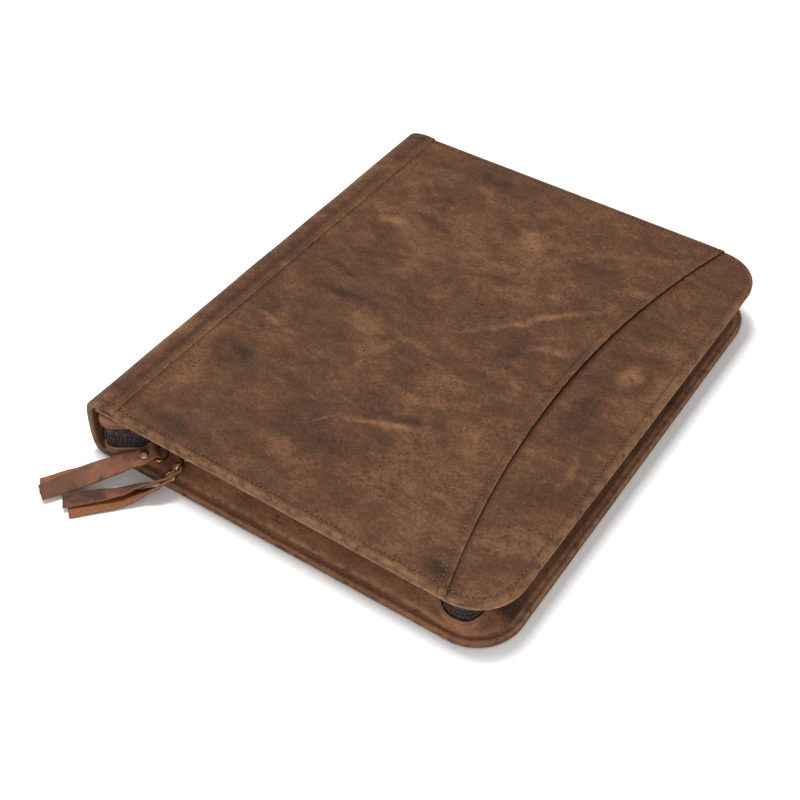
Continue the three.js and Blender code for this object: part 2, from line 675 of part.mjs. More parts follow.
// The link: an oval that passes through the bail's hole and round the ring's bow.
function linkGeometry(pull, axes) {
  const { middle, width, reach } = ringAxes(pull);
  const from = bailHole.clone().applyMatrix4(axes);
  const along = middle.clone().addScaledVector(reach, RING_DEPTH).sub(from);
  const length = along.length() + RING_WIRE / 2 + LINK_WIRE / 2 + 2 * CLEARANCE;
  along.normalize();
  const rise = width.clone().cross(along).normalize();
  rise.z += LINK_TURN * Math.sign(rise.z);
  rise.addScaledVector(along, -rise.dot(along)).normalize();
  const points = [];
  const steps = 6;
  const bulge = 0.3 * LINK_WIDTH;
  for (const sense of [1, -1]) {
    for (let step = 0; step <= steps; step++) {
      const turn = (step / steps - 0.5) * Math.PI;
      const u = length / 2 + sense * (length / 2 - bulge + bulge * Math.cos(turn));
      const point = from.clone().addScaledVector(along, u);
      points.push(point.addScaledVector(rise, (sense * LINK_WIDTH * Math.sin(turn)) / 2));
    }
  }
  return closedWire(points, along.clone().cross(rise), LINK_WIRE);
}

// Assembly. The upright case is moved to where it lies: the front cover's shift, skew and drop fade
// out towards the back cover. X is measured from the seam until the last step.
const caseMiddle = (COVER_WIDTH - SPINE_DEPTH) / 2;

function settle(geometry) {
  const position = geometry.attributes.position;
  for (let i = 0; i < position.count; i++) {
    const [x, y, z] = [position.getX(i), position.getY(i), position.getZ(i)];
    const share = z / CASE_HEIGHT;
    const outward = x / COVER_WIDTH;
    position.setXYZ(
      i,
      x + share * (FRONT_SHIFT * outward + y * Math.tan(FRONT_SKEW)) - caseMiddle,
      y - share * x * Math.tan(FRONT_SKEW),
      z - share * FRONT_DROP * outward,
    );
  }
  return geometry;
}

const group = new THREE.Group();

function addPiece(name, geometry, material) {
  const mesh = new THREE.Mesh(settle(geometry), material);
  mesh.name = name;
  group.add(mesh);
}

addPiece("back_cover", coverPlate(0, COVER_THICKNESS), leather);
addPiece("front_cover", frontBoard, leather);
addPiece("front_pocket", fromSolid(frontPocket), leather);
addPiece("spine", spineGeometry(), leather);
addPiece("gusset_lower", gussetGeometry(COVER_THICKNESS, 1, BACK_GUSSET_RISE), leather);
addPiece("gusset_upper", gussetGeometry(FRONT_UNDERSIDE, -1, FRONT_GUSSET_RISE), leather);
const lowerTape = zipBand(BACK_RIM_LEVEL - TAPE_LAP, chainLow - CLEARANCE, ZIP_TAPE);
const upperTape = zipBand(chainHigh + CLEARANCE, FRONT_RIM_LEVEL + TAPE_LAP, ZIP_TAPE);
addPiece("zip_tape_lower", lowerTape, tapeCloth);
addPiece("zip_tape_upper", upperTape, tapeCloth);

let chain = toSolid(zipBand(chainLow, chainHigh, CHAIN_THICKNESS));
PULLS.forEach((pull, i) => {
  const axes = zipAxes(sliderPlace(pull));
  const gap = SLIDER_NECK / 2 + CLEARANCE;
  const slot = block([-gap, -CHAIN_WIDTH, -gap], [gap, CHAIN_WIDTH, gap]);
  chain = chain.subtract(slot.transform(axes.elements));
  const number = i + 1;
  addPiece(`slider_${number}`, fromSolid(sliderSolid()).applyMatrix4(axes), brass);
  addPiece(`link_${number}`, linkGeometry(pull, axes), brass);
  addPiece(`pull_ring_${number}`, ringGeometry(pull), brass);
  addPiece(`pull_${number}`, pullGeometry(pull), pullLeather);
  addPiece(`rivet_${number}`, rivetGeometry(pull), brass);
});
addPiece("zip_chain", fromSolid(chain), coilPlastic);

export default group;
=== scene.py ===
# %% [markdown]
# # A zip-round leather document case
# The case is closed and lies on its back cover. Two leather-covered boards are joined by a stiffened
# spine roll, and a leather gusset with a coil zip closes the other three edges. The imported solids
# give every size and place. This lesson dresses them with hide, thread, zip and brass.

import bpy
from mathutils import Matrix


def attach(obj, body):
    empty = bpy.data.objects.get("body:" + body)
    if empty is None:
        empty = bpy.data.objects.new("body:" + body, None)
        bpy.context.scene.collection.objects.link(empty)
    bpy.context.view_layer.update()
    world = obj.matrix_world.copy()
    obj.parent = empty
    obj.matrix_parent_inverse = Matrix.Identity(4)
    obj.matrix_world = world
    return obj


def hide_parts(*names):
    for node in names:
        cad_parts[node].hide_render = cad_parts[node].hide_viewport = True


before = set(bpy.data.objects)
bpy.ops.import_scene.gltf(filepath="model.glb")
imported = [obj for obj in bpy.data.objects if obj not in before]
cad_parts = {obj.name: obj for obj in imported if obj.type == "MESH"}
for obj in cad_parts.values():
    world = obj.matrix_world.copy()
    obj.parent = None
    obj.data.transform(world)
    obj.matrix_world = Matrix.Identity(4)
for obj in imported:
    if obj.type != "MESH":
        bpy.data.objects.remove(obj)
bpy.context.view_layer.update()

# %% Modules
import bisect
from math import copysign, cos, exp, pi, radians, sin, sqrt, tan

import bmesh
import bpy
from mathutils import Matrix, Vector, noise

scene = bpy.context.scene
UP = Vector((0, 0, 1))

# %% [markdown]
# ## Camera
# The view looks down on the near end of the case from beside its fore edge, through a slightly long
# lens. The angles are turned into the camera's own axes: back points away from what it sees.

# %% Place the camera
AZIMUTH = radians(34.181)
ELEVATION = radians(44.682)
ROLL = radians(-0.408)
TARGET = Vector((-0.01057, -0.03257, 0))
DISTANCE = 0.83852
LENS = 59.044  # mm, on a 36 mm wide sensor

back = Vector((
    sin(AZIMUTH) * cos(ELEVATION),
    -cos(AZIMUTH) * cos(ELEVATION),
    sin(ELEVATION),
))
right = (-back).cross(UP).normalized()
up = back.cross(right)
turned_right = cos(ROLL) * right + sin(ROLL) * up
turned_up = cos(ROLL) * up - sin(ROLL) * right

camera = bpy.data.objects.new("camera", bpy.data.cameras.new("camera"))
camera.data.lens = LENS
camera.data.sensor_width = 36
camera.data.clip_start = 0.01
camera.matrix_world = Matrix.Translation(TARGET + DISTANCE * back) @ Matrix(
    (turned_right, turned_up, back)
).transposed().to_4x4()
scene.collection.objects.link(camera)
scene.camera = camera
print("camera at", [round(c, 3) for c in camera.matrix_world.translation])

# %% [markdown]
# ## The case's own coordinates
# It is easier to build the case upright and square, in millimetres from the seam between spine and
# front cover. The real one has settled: the front cover lies a little lower at its fore edge, a
# little further out and a little askew, and the back cover not at all. settle() does that to each
# point, and gives its place in metres.

# %% Sizes and settling
COVER_WIDTH = 262
HALF_LENGTH = 172.5
CASE_HEIGHT = 44.6
CORNER_RADIUS = 30
SPINE_DEPTH = 25
CLEARANCE = 0.3
FRONT_DROP = 2.1
FRONT_SHIFT = 1.3
SKEW = tan(radians(0.41))
CASE_MIDDLE = (COVER_WIDTH - SPINE_DEPTH) / 2


def settle(point):
    x, y, z = point
    share = z / CASE_HEIGHT
    outward = x / COVER_WIDTH
    return Vector((
        x + share * (FRONT_SHIFT * outward + y * SKEW) - CASE_MIDDLE,
        y - share * x * SKEW,
        z - share * FRONT_DROP * outward,
    )) / 1000


def smooth(low, high, value):
    """0 below low, 1 above high and a soft step between."""
    t = max(0.0, min(1.0, (value - low) / (high - low)))
    return t * t * (3 - 2 * t)


def lerp(a, b, t):
    return a + (b - a) * t


def steps(low, high, size):
    """Even steps from low to high, about size apart, both ends included."""
    count = max(1, round((high - low) / size))
    return [low + (high - low) * k / count for k in range(count + 1)]


def hump(distance, width):
    """1 at no distance, falling away softly over about the width."""
    return exp(-((distance / width) ** 2))


def ripple(x, y, size, seed=0.0):
    """A soft uneven swell between -1 and 1, with hills about size apart."""
    return noise.noise(Vector((x / size + seed, y / size - seed, seed * 1.7)))


# %% [markdown]
# ## Building and finishing
# Almost every piece here is a sheet of hide or cloth with a thickness. One helper makes a grid, gives
# it a back by extruding it, and then moves each point to where a small function says. Two numbers go
# with each point for the materials. The first makes the hide paler: wear on edges, rims and ends, the
# lower gusset's flange along the fore edge, and a painted highlight on a few crests where light
# catches. The second makes it darker: painted shade in stitch grooves, in the spine's valley, under
# the pocket's mouth and under the front cover, and on the pulls a darkening towards the tips.

# %% Sheet and finish helpers
def sheet(us, vs, place):
    """A two-faced grid: place(u, v, side) gives point, paleness from wear and painted highlight, and
    darkening from painted shade. side is 1 outside, -1 inside.
    """
    bm = bmesh.new()
    bmesh.ops.create_grid(bm, x_segments=len(us) - 1, y_segments=len(vs) - 1, size=0.5)
    column = bm.verts.layers.int.new("column")
    row = bm.verts.layers.int.new("row")
    wear_and_highlight = bm.verts.layers.float.new("wear_and_highlight")
    darkening = bm.verts.layers.float.new("darkening")
    face_side = bm.verts.layers.float.new("outside")
    for vert in bm.verts:
        vert[column] = round((vert.co.x + 0.5) * (len(us) - 1))
        vert[row] = round((vert.co.y + 0.5) * (len(vs) - 1))
    made = bmesh.ops.extrude_face_region(bm, geom=bm.faces[:])
    inner = {item for item in made["geom"] if isinstance(item, bmesh.types.BMVert)}
    for vert in bm.verts:
        side = -1 if vert in inner else 1
        point, vert[wear_and_highlight], vert[darkening] = place(us[vert[column]], vs[vert[row]], side)
        vert.co = point
        vert[face_side] = (side + 1) / 2
    for name in ("column", "row"):
        bm.verts.layers.int.remove(bm.verts.layers.int[name])
    bmesh.ops.remove_doubles(bm, verts=bm.verts, dist=0.01)
    bmesh.ops.recalc_face_normals(bm, faces=bm.faces)
    return bm


def finish(name, bm, material, slot, *nodes, settled=False, smooth_shading=True):
    """Turns a bmesh in case millimetres into a piece that rides on the case."""
    if not settled:
        for vert in bm.verts:
            vert.co = settle(vert.co)
    mesh = bpy.data.meshes.new(name)
    bm.to_mesh(mesh)
    bm.free()
    mesh.materials.append(material)
    for polygon in mesh.polygons:
        polygon.use_smooth = smooth_shading
    piece = bpy.data.objects.new(name, mesh)
    scene.collection.objects.link(piece)
    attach(piece, "root")
    if nodes:
        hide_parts(*nodes)
    print(name, len(mesh.polygons), "faces")
    return piece


# %% [markdown]
# ## Materials
# Colours are given as the hex values that a painter would pick, and turned to linear light once.
# Sizes of patterns are real millimetres: a texture's scale is how many of them fit in a metre.

# %% Node helpers
def colour(hex_text):
    """An sRGB hex colour as linear RGBA."""
    parts = [int(hex_text[i : i + 2], 16) / 255 for i in (1, 3, 5)]
    linear = [p / 12.92 if p <= 0.04045 else ((p + 0.055) / 1.055) ** 2.4 for p in parts]
    return (*linear, 1)


def per_metre(millimetres):
    return 1000 / millimetres


def fill_sockets(node, inputs):
    """Gives sockets, by name or number, a value or another node's output."""
    for name, value in inputs.items():
        if isinstance(value, bpy.types.NodeSocket):
            node.id_data.links.new(value, node.inputs[name])
        else:
            node.inputs[name].default_value = value


def add(tree, kind, inputs, output=0, **settings):
    """Adds a node, fills its sockets and gives one of its outputs."""
    made = tree.nodes.new("ShaderNode" + kind)
    for name, value in settings.items():
        setattr(made, name, value)
    fill_sockets(made, inputs)
    return made.outputs[output]


def new_material(name):
    """A material, its tree and surface shader, and the place on the piece for its textures."""
    material = bpy.data.materials.new(name)
    material.use_nodes = True
    tree = material.node_tree
    tree.nodes.clear()
    surface = tree.nodes.new("ShaderNodeBsdfPrincipled")
    fill_sockets(tree.nodes.new("ShaderNodeOutputMaterial"), {"Surface": surface.outputs["BSDF"]})
    return material, tree, surface, add(tree, "TexCoord", {}, "Object")


def point_number(tree, name):
    """One of the numbers that each point of a piece carries."""
    return add(tree, "Attribute", {}, "Fac", attribute_name=name)


def times(tree, a, b):
    return add(tree, "Math", {0: a, 1: b}, operation="MULTIPLY")


def plus(tree, a, b):
    return add(tree, "Math", {0: a, 1: b}, operation="ADD")


def ramp(tree, value, low, high, first=0, last=1, kind="LINEAR"):
    """Turns low to high into first to last."""
    return add(tree, "MapRange", {
        "Value": value, "From Min": low, "From Max": high, "To Min": first, "To Max": last,
    }, "Result", interpolation_type=kind)


def cloud(tree, place, size, detail, warp=0, roughness=0.5, output="Fac"):
    """Noise about size millimetres across."""
    return add(tree, "TexNoise", {
        "Vector": place, "Scale": per_metre(size), "Detail": detail, "Roughness": roughness,
        "Distortion": warp,
    }, output)


def blotches(tree, place, size, low, high, detail=3, warp=0.4):
    """A 0 to 1 mask of soft patches about size millimetres across."""
    return ramp(tree, cloud(tree, place, size, detail, warp, 0.55), low, high, kind="SMOOTHSTEP")


def tint(tree, under, over, amount):
    """under covered by over, as far as amount says. Either is a hex colour or an output."""
    under, over = (colour(c) if isinstance(c, str) else c for c in (under, over))
    return add(tree, "Mix", {"Factor": amount, 6: under, 7: over}, 2, data_type="RGBA")


def bump(tree, height, strength, distance, **normal):
    """Relief from a height, over an earlier Normal if there is one."""
    return add(tree, "Bump", {"Height": height, "Strength": strength, "Distance": distance, **normal})


# %% [markdown]
# ### Oiled pull-up cowhide
# The covers are full-grain hide, dyed brown through and stuffed with oil and wax. Where it is bent or
# rubbed the wax moves away, so it has paler tan clouds, purplish dark smudges where wax has gathered,
# fine pores and small scars. It is matt with a slight greasy sheen. All of that is one number, how
# much wax has left the place: several sizes of noise are added up, and the number then chooses
# between the dark, middle and tan tones. The hide was stretched across the case, so its streaks run
# from the spine to the fore edge.

# %% Old marks on the front cover
# Each mark has its middle and half sizes in millimetres from the seam, a turn in degrees and a
# strength, above 0 for a rubbed tan place and below 0 for a dark one.
MARKS = [
    (122, 107, 18, 16, 0, 0.2), (163, 38, 60, 5, 46, 0.2), (181, 17, 26, 6, 30, 0.18),
    (235, 28, 9, 16, -15, 0.26), (24, -54, 34, 5, -3, 0.18), (75, -25, 34, 16, 12, 0.13),
    (48, -8, 36, 7, 4, -0.16), (35, 12, 42, 5, -8, -0.13), (134, -91, 30, 4.5, 14, 0.26),
    (145, -79, 32, 6, 18, -0.2), (105, -118, 50, 18, -6, -0.13), (100, -138, 28, 14, -18, 0.12),
    (25, -92, 34, 15, 0, -0.11), (12, -125, 18, 18, 0, 0.1), (33, -158, 40, 9, -4, -0.14),
    (218, -161, 16, 9, 0, -0.15), (58, 86, 26, 6, -8, -0.16), (35, 72, 30, 7, -12, 0.13),
    (172, 10, 22, 11, 30, -0.13), (170, 104, 30, 8, 3, -0.13), (224, -14, 12, 26, 0, -0.14),
    (60, 150, 60, 12, 0, -0.14), (-20, 90, 6, 60, 0, 0.14), (100, -33, 26, 4, 60, 0.1),
    (-19, -100, 7, 50, 0, 0.12), (120, 60, 60, 5, 12, -0.1), (90, 8, 30, 3, -20, -0.1),
    (243, -60, 3, 34, 8, 0.13), (103, -108, 13, 2.2, 60, 0.2), (150, -60, 30, 6, 20, 0.1),
    (48, 106, 5, 7, 0, 0.16), (234, -30, 34, 150, 0, -0.08), (48, 108, 11, 13, 0, -0.12),
    (205, 100, 14, 8, 30, 0.12),
]
MARK_DRIFT = 0.014  # metres that noise pushes a mark's outline
MARK_DEPTH = 0.012  # metres below the face at which a mark has faded


def mark_total(tree, place):
    """The sum of all marks at a place, with their outlines pushed about by noise."""
    push = cloud(tree, place, 16, 4, output="Color")
    shift = add(tree, "VectorMath", {0: push, 1: (0.5, 0.5, 0.5)}, operation="SUBTRACT")
    warped = add(tree, "VectorMath", {
        0: shift, 1: (MARK_DRIFT, MARK_DRIFT, 0), 2: place,
    }, operation="MULTIPLY_ADD")
    total = 0
    for x, y, half_x, half_y, turn, strength in MARKS:
        near = add(tree, "Mapping", {
            "Vector": warped, "Location": settle((x, y, CASE_HEIGHT)),
            "Rotation": (0, 0, radians(turn)), "Scale": (half_x / 1000, half_y / 1000, MARK_DEPTH),
        }, vector_type="TEXTURE")
        far = add(tree, "VectorMath", {0: near}, "Value", operation="LENGTH")
        total = plus(tree, total, ramp(tree, far, 0.05, 1, 1.1 * strength, 0, "SMOOTHSTEP"))
    return total


# %% Cowhide
def waves_of_tone(tree, place, sizes):
    """Noise of several sizes added up: each is (millimetres, strength, detail, warp)."""
    total = 0
    for size, strength, detail, warp in sizes:
        centred = plus(tree, cloud(tree, place, size, detail, warp, 0.62), -0.5)
        total = plus(tree, total, times(tree, centred, strength))
    return total


def cowhide(name, dark, middle, pale, worn_and_lit_tone, marked=False):
    material, tree, surface, place = new_material(name)
    streaked = add(tree, "Mapping", {
        "Vector": place, "Rotation": (0, 0, radians(-9)), "Scale": (0.68, 1.1, 1),
    })
    grit = waves_of_tone(tree, place, [(1.7, 0.55, 4, 0.2), (34, 0.28, 3, 1.8)])
    wax_and_shade = plus(tree, grit, waves_of_tone(tree, streaked, [
        (60, 0.42, 4, 1.3), (20, 0.33, 5, 1.1), (6.5, 0.34, 6, 0.6),
    ]))
    if marked:
        wax_and_shade = plus(tree, wax_and_shade, mark_total(tree, place))
    tone = tint(tree, middle, dark, ramp(tree, wax_and_shade, 0, -0.28))
    tone = tint(tree, tone, pale, ramp(tree, wax_and_shade, 0, 0.34))
    pores = blotches(tree, place, 2.2, 0.6, 0.68, detail=2, warp=0.2)
    where_pores_are = blotches(tree, place, 24, 0.46, 0.6, detail=2, warp=0.6)
    tone = tint(tree, tone, "#22140f", times(tree, times(tree, pores, where_pores_are), 0.7))
    patchy = blotches(tree, place, 6, 0.34, 0.62, detail=6)
    # Paler where the hide is worn, and a painted highlight on the lit crest of the lower gusset and on
    # the outer roll of the spine.
    paling = times(tree, times(tree, point_number(tree, "wear_and_highlight"), patchy), 0.5)
    tone = tint(tree, tone, worn_and_lit_tone, paling)
    # Painted shade: darker in stitch grooves, in the spine's valley, on the board under the pocket's
    # mouth and on the gusset's wall under the front cover.
    tone = tint(tree, tone, "#24150f", times(tree, point_number(tree, "darkening"), 0.75))
    grain = add(tree, "TexVoronoi", {
        "Vector": place, "Scale": per_metre(1.1), "Randomness": 1,
    }, "Distance", feature="DISTANCE_TO_EDGE")
    creases = cloud(tree, streaked, 4, 8, 0.6, 0.7)
    fill_sockets(surface, {
        "Base Color": tone, "Roughness": ramp(tree, grit, -0.3, 0.3, 0.55, 0.75),
        "IOR": 1.45, "Specular IOR Level": 0.16,
        "Normal": bump(tree, creases, 0.7, 0.0012, Normal=bump(tree, grain, 0.3, 0.0002)),
    })
    return material


COVER_HIDE = cowhide(
    "oiled_pull_up_cowhide", "#2a1b11", "#4f3321", "#7c563a", "#8a6747", marked=True
)
GUSSET_HIDE = cowhide("gusset_cowhide", "#523828", "#7a523c", "#9c7253", "#b08a66")

# %% [markdown]
# ### Strap leather, split so that both sides show
# The pulls are one layer of the same hide folded flesh side in. Outside is the dyed grain. Inside is
# the flesh side, a short orange suede, and the cut edge is raw tan. The outside number of each point
# tells them apart: 1 on the grain, 0 on the flesh, and between them across the cut edge.

# %% Strap leather
def strap_leather():
    material, tree, surface, place = new_material("strap_leather_grain_and_suede")
    outside = point_number(tree, "outside")
    clouds = blotches(tree, place, 14, 0.36, 0.66, detail=5, warp=0.8)
    smudges = blotches(tree, place, 24, 0.46, 0.6, detail=4, warp=1.2)
    nap = blotches(tree, place, 1.1, 0.25, 0.75, detail=5)
    grain = tint(tree, "#6a4735", "#80523a", times(tree, clouds, 0.7))
    grain = tint(tree, grain, "#3b2824", times(tree, smudges, 0.8))
    grain = tint(tree, grain, "#46302a", times(tree, nap, 0.2))
    # Darker towards the tips.
    grain = tint(tree, grain, "#3b2824", times(tree, point_number(tree, "darkening"), 0.45))
    suede = tint(tree, "#6a4028", "#875639", nap)
    tone = tint(tree, "#6f4a31", grain, ramp(tree, outside, 0.8, 0.92))
    fill_sockets(surface, {
        "Base Color": tint(tree, tone, suede, ramp(tree, outside, 0.04, 0.1, 1, 0)),
        "Roughness": 0.74, "IOR": 1.45, "Specular IOR Level": 0.16,
        "Normal": bump(tree, cloud(tree, place, 1.2, 6), 0.45, 0.0005),
    })
    return material


STRAP_LEATHER = strap_leather()

# %% [markdown]
# ### Waxed polyester thread
# Brown sewing thread about 0.8 mm thick. It sinks into its needle holes, and each stitch is painted
# darker at its ends for the shade in the holes. The dive number of each point says how deep in the
# hole it is.

# %% Thread
def sewing_thread():
    material, tree, surface, place = new_material("waxed_polyester_thread")
    tone = tint(tree, "#4c2f1f", "#6d4429", blotches(tree, place, 6, 0.35, 0.65))
    # Painted shade where the thread goes down into its holes.
    tone = tint(tree, tone, "#1d120d", point_number(tree, "dive"))
    fill_sockets(surface, {"Base Color": tone, "Roughness": 0.6})
    return material


THREAD = sewing_thread()

# %% [markdown]
# ### Zip cloth, nylon coil and brass
# The tape is a close polyester weave, nearly black. Its ribs are drawn 1.1 mm apart, coarser than the
# real 0.4 mm, so that they show. The coil is extruded nylon with a dull gloss. The rings, links,
# rivets and sliders are steel plated with brass and antiqued: the dark finish stays in scratches and
# hollows and is rubbed off the high places.

# %% Tape, coil and brass
RIB_PITCH = 1.1
WAVE_PERIOD = 0.314  # a wave texture repeats after this much of its own units


def zip_cloth():
    material, tree, surface, place = new_material("woven_polyester_tape")
    ribs = add(tree, "TexWave", {
        "Vector": place, "Scale": per_metre(RIB_PITCH) * WAVE_PERIOD, "Distortion": 0.4, "Detail": 1,
    }, "Fac", wave_type="BANDS", bands_direction="Z")
    tone = tint(tree, "#2a2021", "#5e4a4a", ribs)
    fill_sockets(surface, {
        "Base Color": tint(tree, tone, "#1f1718", blotches(tree, place, 1.6, 0.3, 0.7)),
        "Roughness": 0.9, "Specular IOR Level": 0.2, "Normal": bump(tree, ribs, 0.5, 0.0002),
    })
    return material


def coil_nylon():
    material, tree, surface, place = new_material("extruded_nylon_coil")
    dust = blotches(tree, place, 4, 0.35, 0.7)
    fill_sockets(surface, {
        "Base Color": tint(tree, "#1c1717", "#3a3130", dust),
        "Roughness": 0.42, "Specular IOR Level": 0.38,
    })
    return material


def antique_brass():
    material, tree, surface, place = new_material("antiqued_brass_plate")
    tarnish = blotches(tree, place, 2.4, 0.4, 0.68, detail=4)
    fill_sockets(surface, {
        "Base Color": tint(tree, "#a08d5e", "#5b4c2d", tarnish),
        "Metallic": 1, "Roughness": ramp(tree, tarnish, 0, 1, 0.22, 0.45),
    })
    return material


ZIP_CLOTH = zip_cloth()
COIL_NYLON = coil_nylon()
BRASS = antique_brass()

# %% [markdown]
# ## Covers
# Each cover is a stiff board with hide turned round its edge. Its outline is straight at the spine
# and has two round corners at the fore edge. A square grid is laid on it whose lines crowd together
# towards the edge. In the corners the square of grid is bent into a quarter disc, so the lines stay
# parallel to the edge and the stitch groove can follow one of them. Past the edge the lines roll
# down a quarter circle to the middle of the side, where the outer and inner faces meet.

# %% Lines over a cover
STITCH_INSET = 5
AROUND_ROW = [
    -18, -13.5, -10, -7.5, -5.6, -4.2, -3.1, -2.2, -1.5, -1, -0.65, -0.35, 0, 0.35, 0.65, 1, 1.5,
]


def edge_lines(radius, end):
    """Places along the leather towards an edge: 0 where its rounding starts, end where it stops."""
    row = radius - STITCH_INSET
    flat = [row + s for s in AROUND_ROW if row + s < -0.25]
    quarter = radius * pi / 2
    arc = [quarter * k / 5 for k in range(6)]
    return flat + arc + (steps(quarter, end, 0.8)[1:] if end > quarter else [])


def lengthwise(radius, lines, pitch=4.0, proud=0.0):
    """Lines from the near end to the far one, even and then as lines says towards each end."""
    half = steps(0, HALF_LENGTH - radius + lines[0], pitch)[:-1]
    half += [HALF_LENGTH + proud - radius + s for s in lines]
    return [-y for y in half[:0:-1]] + half


def rolled(s, radius, top, bottom):
    """A section over an edge: how far out, the height, and the way the surface faces."""
    quarter = radius * pi / 2
    upright = top - bottom - 2 * radius
    if s <= 0:
        return s, top, 0.0, 1.0
    if s <= quarter:
        out, up = sin(s / radius), cos(s / radius)
        return radius * out, top - radius * (1 - up), out, up
    if s <= quarter + upright:
        return radius, top - radius - (s - quarter), 1.0, 0.0
    if s <= 2 * quarter + upright:
        turn = (s - quarter - upright) / radius
        out, down = cos(turn), sin(turn)
        return radius * out, bottom + radius * (1 - down), out, -down
    return -(s - 2 * quarter - upright), bottom, 0.0, -1.0


def cover_grid(radius, end, pitch):
    """The unrolled lines of a cover: across it from the spine, and along it."""
    lines = edge_lines(radius, end)
    across = steps(CLEARANCE, COVER_WIDTH - radius + lines[0], pitch)[:-1]
    across += [COVER_WIDTH - radius + s for s in lines]
    return across, lengthwise(radius, lines, pitch)


def over_cover(x, y, radius, end):
    """Where a crossing of lines lies: the place it rolls out from, its outward way, and s."""
    side = 1 if y >= 0 else -1
    inner_x = COVER_WIDTH - CORNER_RADIUS
    inner_y = HALF_LENGTH - CORNER_RADIUS
    if x > inner_x and abs(y) > inner_y:
        reach = end + CORNER_RADIUS - radius
        u, v = (x - inner_x) / reach, (abs(y) - inner_y) / reach
        far, near = max(u, v), min(u, v)
        turn = pi / 4 * near / far
        turn = turn if u >= v else pi / 2 - turn
        way = Vector((cos(turn), side * sin(turn)))
        centre = Vector((inner_x, side * inner_y))
        flat = CORNER_RADIUS - radius
        return centre + way * flat, way, far * reach - flat
    if abs(y) > inner_y:
        edge = HALF_LENGTH - radius
        return Vector((x, side * edge)), Vector((0, side)), abs(y) - edge
    if x > inner_x:
        edge = COVER_WIDTH - radius
        return Vector((edge, y)), Vector((1, 0)), x - edge
    return Vector((x, y)), Vector((0, 0)), -CORNER_RADIUS


ROW_DEPTH = 0.38
FINE_ROW_DEPTH = 0.3
# How dark the painted shade in a stitch groove is.
ROW_SHADE = 0.8


def groove(distance, depth=ROW_DEPTH, width=0.6):
    """The dip along a row of stitches."""
    return -depth * hump(distance, width)


def plate(low, high, radius, swell, mouth_shade=0.0, pitch=4.0):
    """A board in hide between two levels. mouth_shade darkens it under the pocket's mouth."""
    end = radius * pi / 2 + (high - low - 2 * radius) / 2

    def place(x, y, side):
        foot, way, s = over_cover(x, y, radius, end)
        out, z, _, _ = rolled(s, radius, high, low)
        flat = foot + way * out
        row = groove(s - (radius - STITCH_INSET))
        swelling = ripple(flat.x, flat.y, 42, 3.1) + 0.3 * ripple(flat.x, flat.y, 15, 7.7)
        z += row + swell * swelling * (1 - smooth(-4, 0.5, s))
        wear_and_highlight = smooth(-1.2, 1.6, s)
        if side < 0:
            z = low + high - z
        # Painted shade on the board under the pocket's mouth, widest where it gapes, and in the stitch
        # groove.
        gap = 1.7 + 2.6 * mouth_open(flat.y)
        shade = mouth_shade * smooth(gap, 0.3, abs(flat.x - mouth_at(flat.y)))
        return Vector((flat.x, flat.y, z)), wear_and_highlight, max(shade, -row / ROW_DEPTH * ROW_SHADE)

    return sheet(*cover_grid(radius, end, pitch), place)


# %% Pocket mouth
MOUTH_AT_MIDDLE = 206.5
MOUTH_AT_ENDS = 231.5
MOUTH_SAGITTA = MOUTH_AT_ENDS - MOUTH_AT_MIDDLE
MOUTH_RADIUS = (HALF_LENGTH**2 + MOUTH_SAGITTA**2) / (2 * MOUTH_SAGITTA)
HEM = 12
HEM_ROW = 4.8


def mouth_at(y):
    return MOUTH_AT_MIDDLE + MOUTH_RADIUS - sqrt(MOUTH_RADIUS**2 - min(abs(y), 180) ** 2)


def mouth_open(y):
    """How far the mouth gapes, as a share of the most."""
    return hump(y - 15, 85)


# %% Back cover and the board of the front cover
COVER_THICKNESS = 5
FRONT_UNDERSIDE = CASE_HEIGHT - COVER_THICKNESS
POCKET_LEATHER = 1.3
BASE_TOP = CASE_HEIGHT - POCKET_LEATHER - CLEARANCE

back_plate = plate(0, COVER_THICKNESS, 2.2, 0.12)
finish("back_cover_in_hide", back_plate, COVER_HIDE, "cover_leather", "back_cover")
front_plate = plate(FRONT_UNDERSIDE, BASE_TOP, 1.6, 0.3, mouth_shade=1.0, pitch=1.5)
finish("front_cover_in_hide", front_plate, COVER_HIDE, "cover_leather", "front_cover")

# %% [markdown]
# ## Pocket panel
# The pocket is a second layer of hide over the front cover. Its mouth is an arc that swings towards
# the fore edge at both ends, with a turned hem and a row of stitches. Its near and far edges go round
# the board with it. It is a sheet again: columns count from the seam to the mouth, and the last
# twelve millimetres keep their distance from the mouth so that hem and stitches follow it.

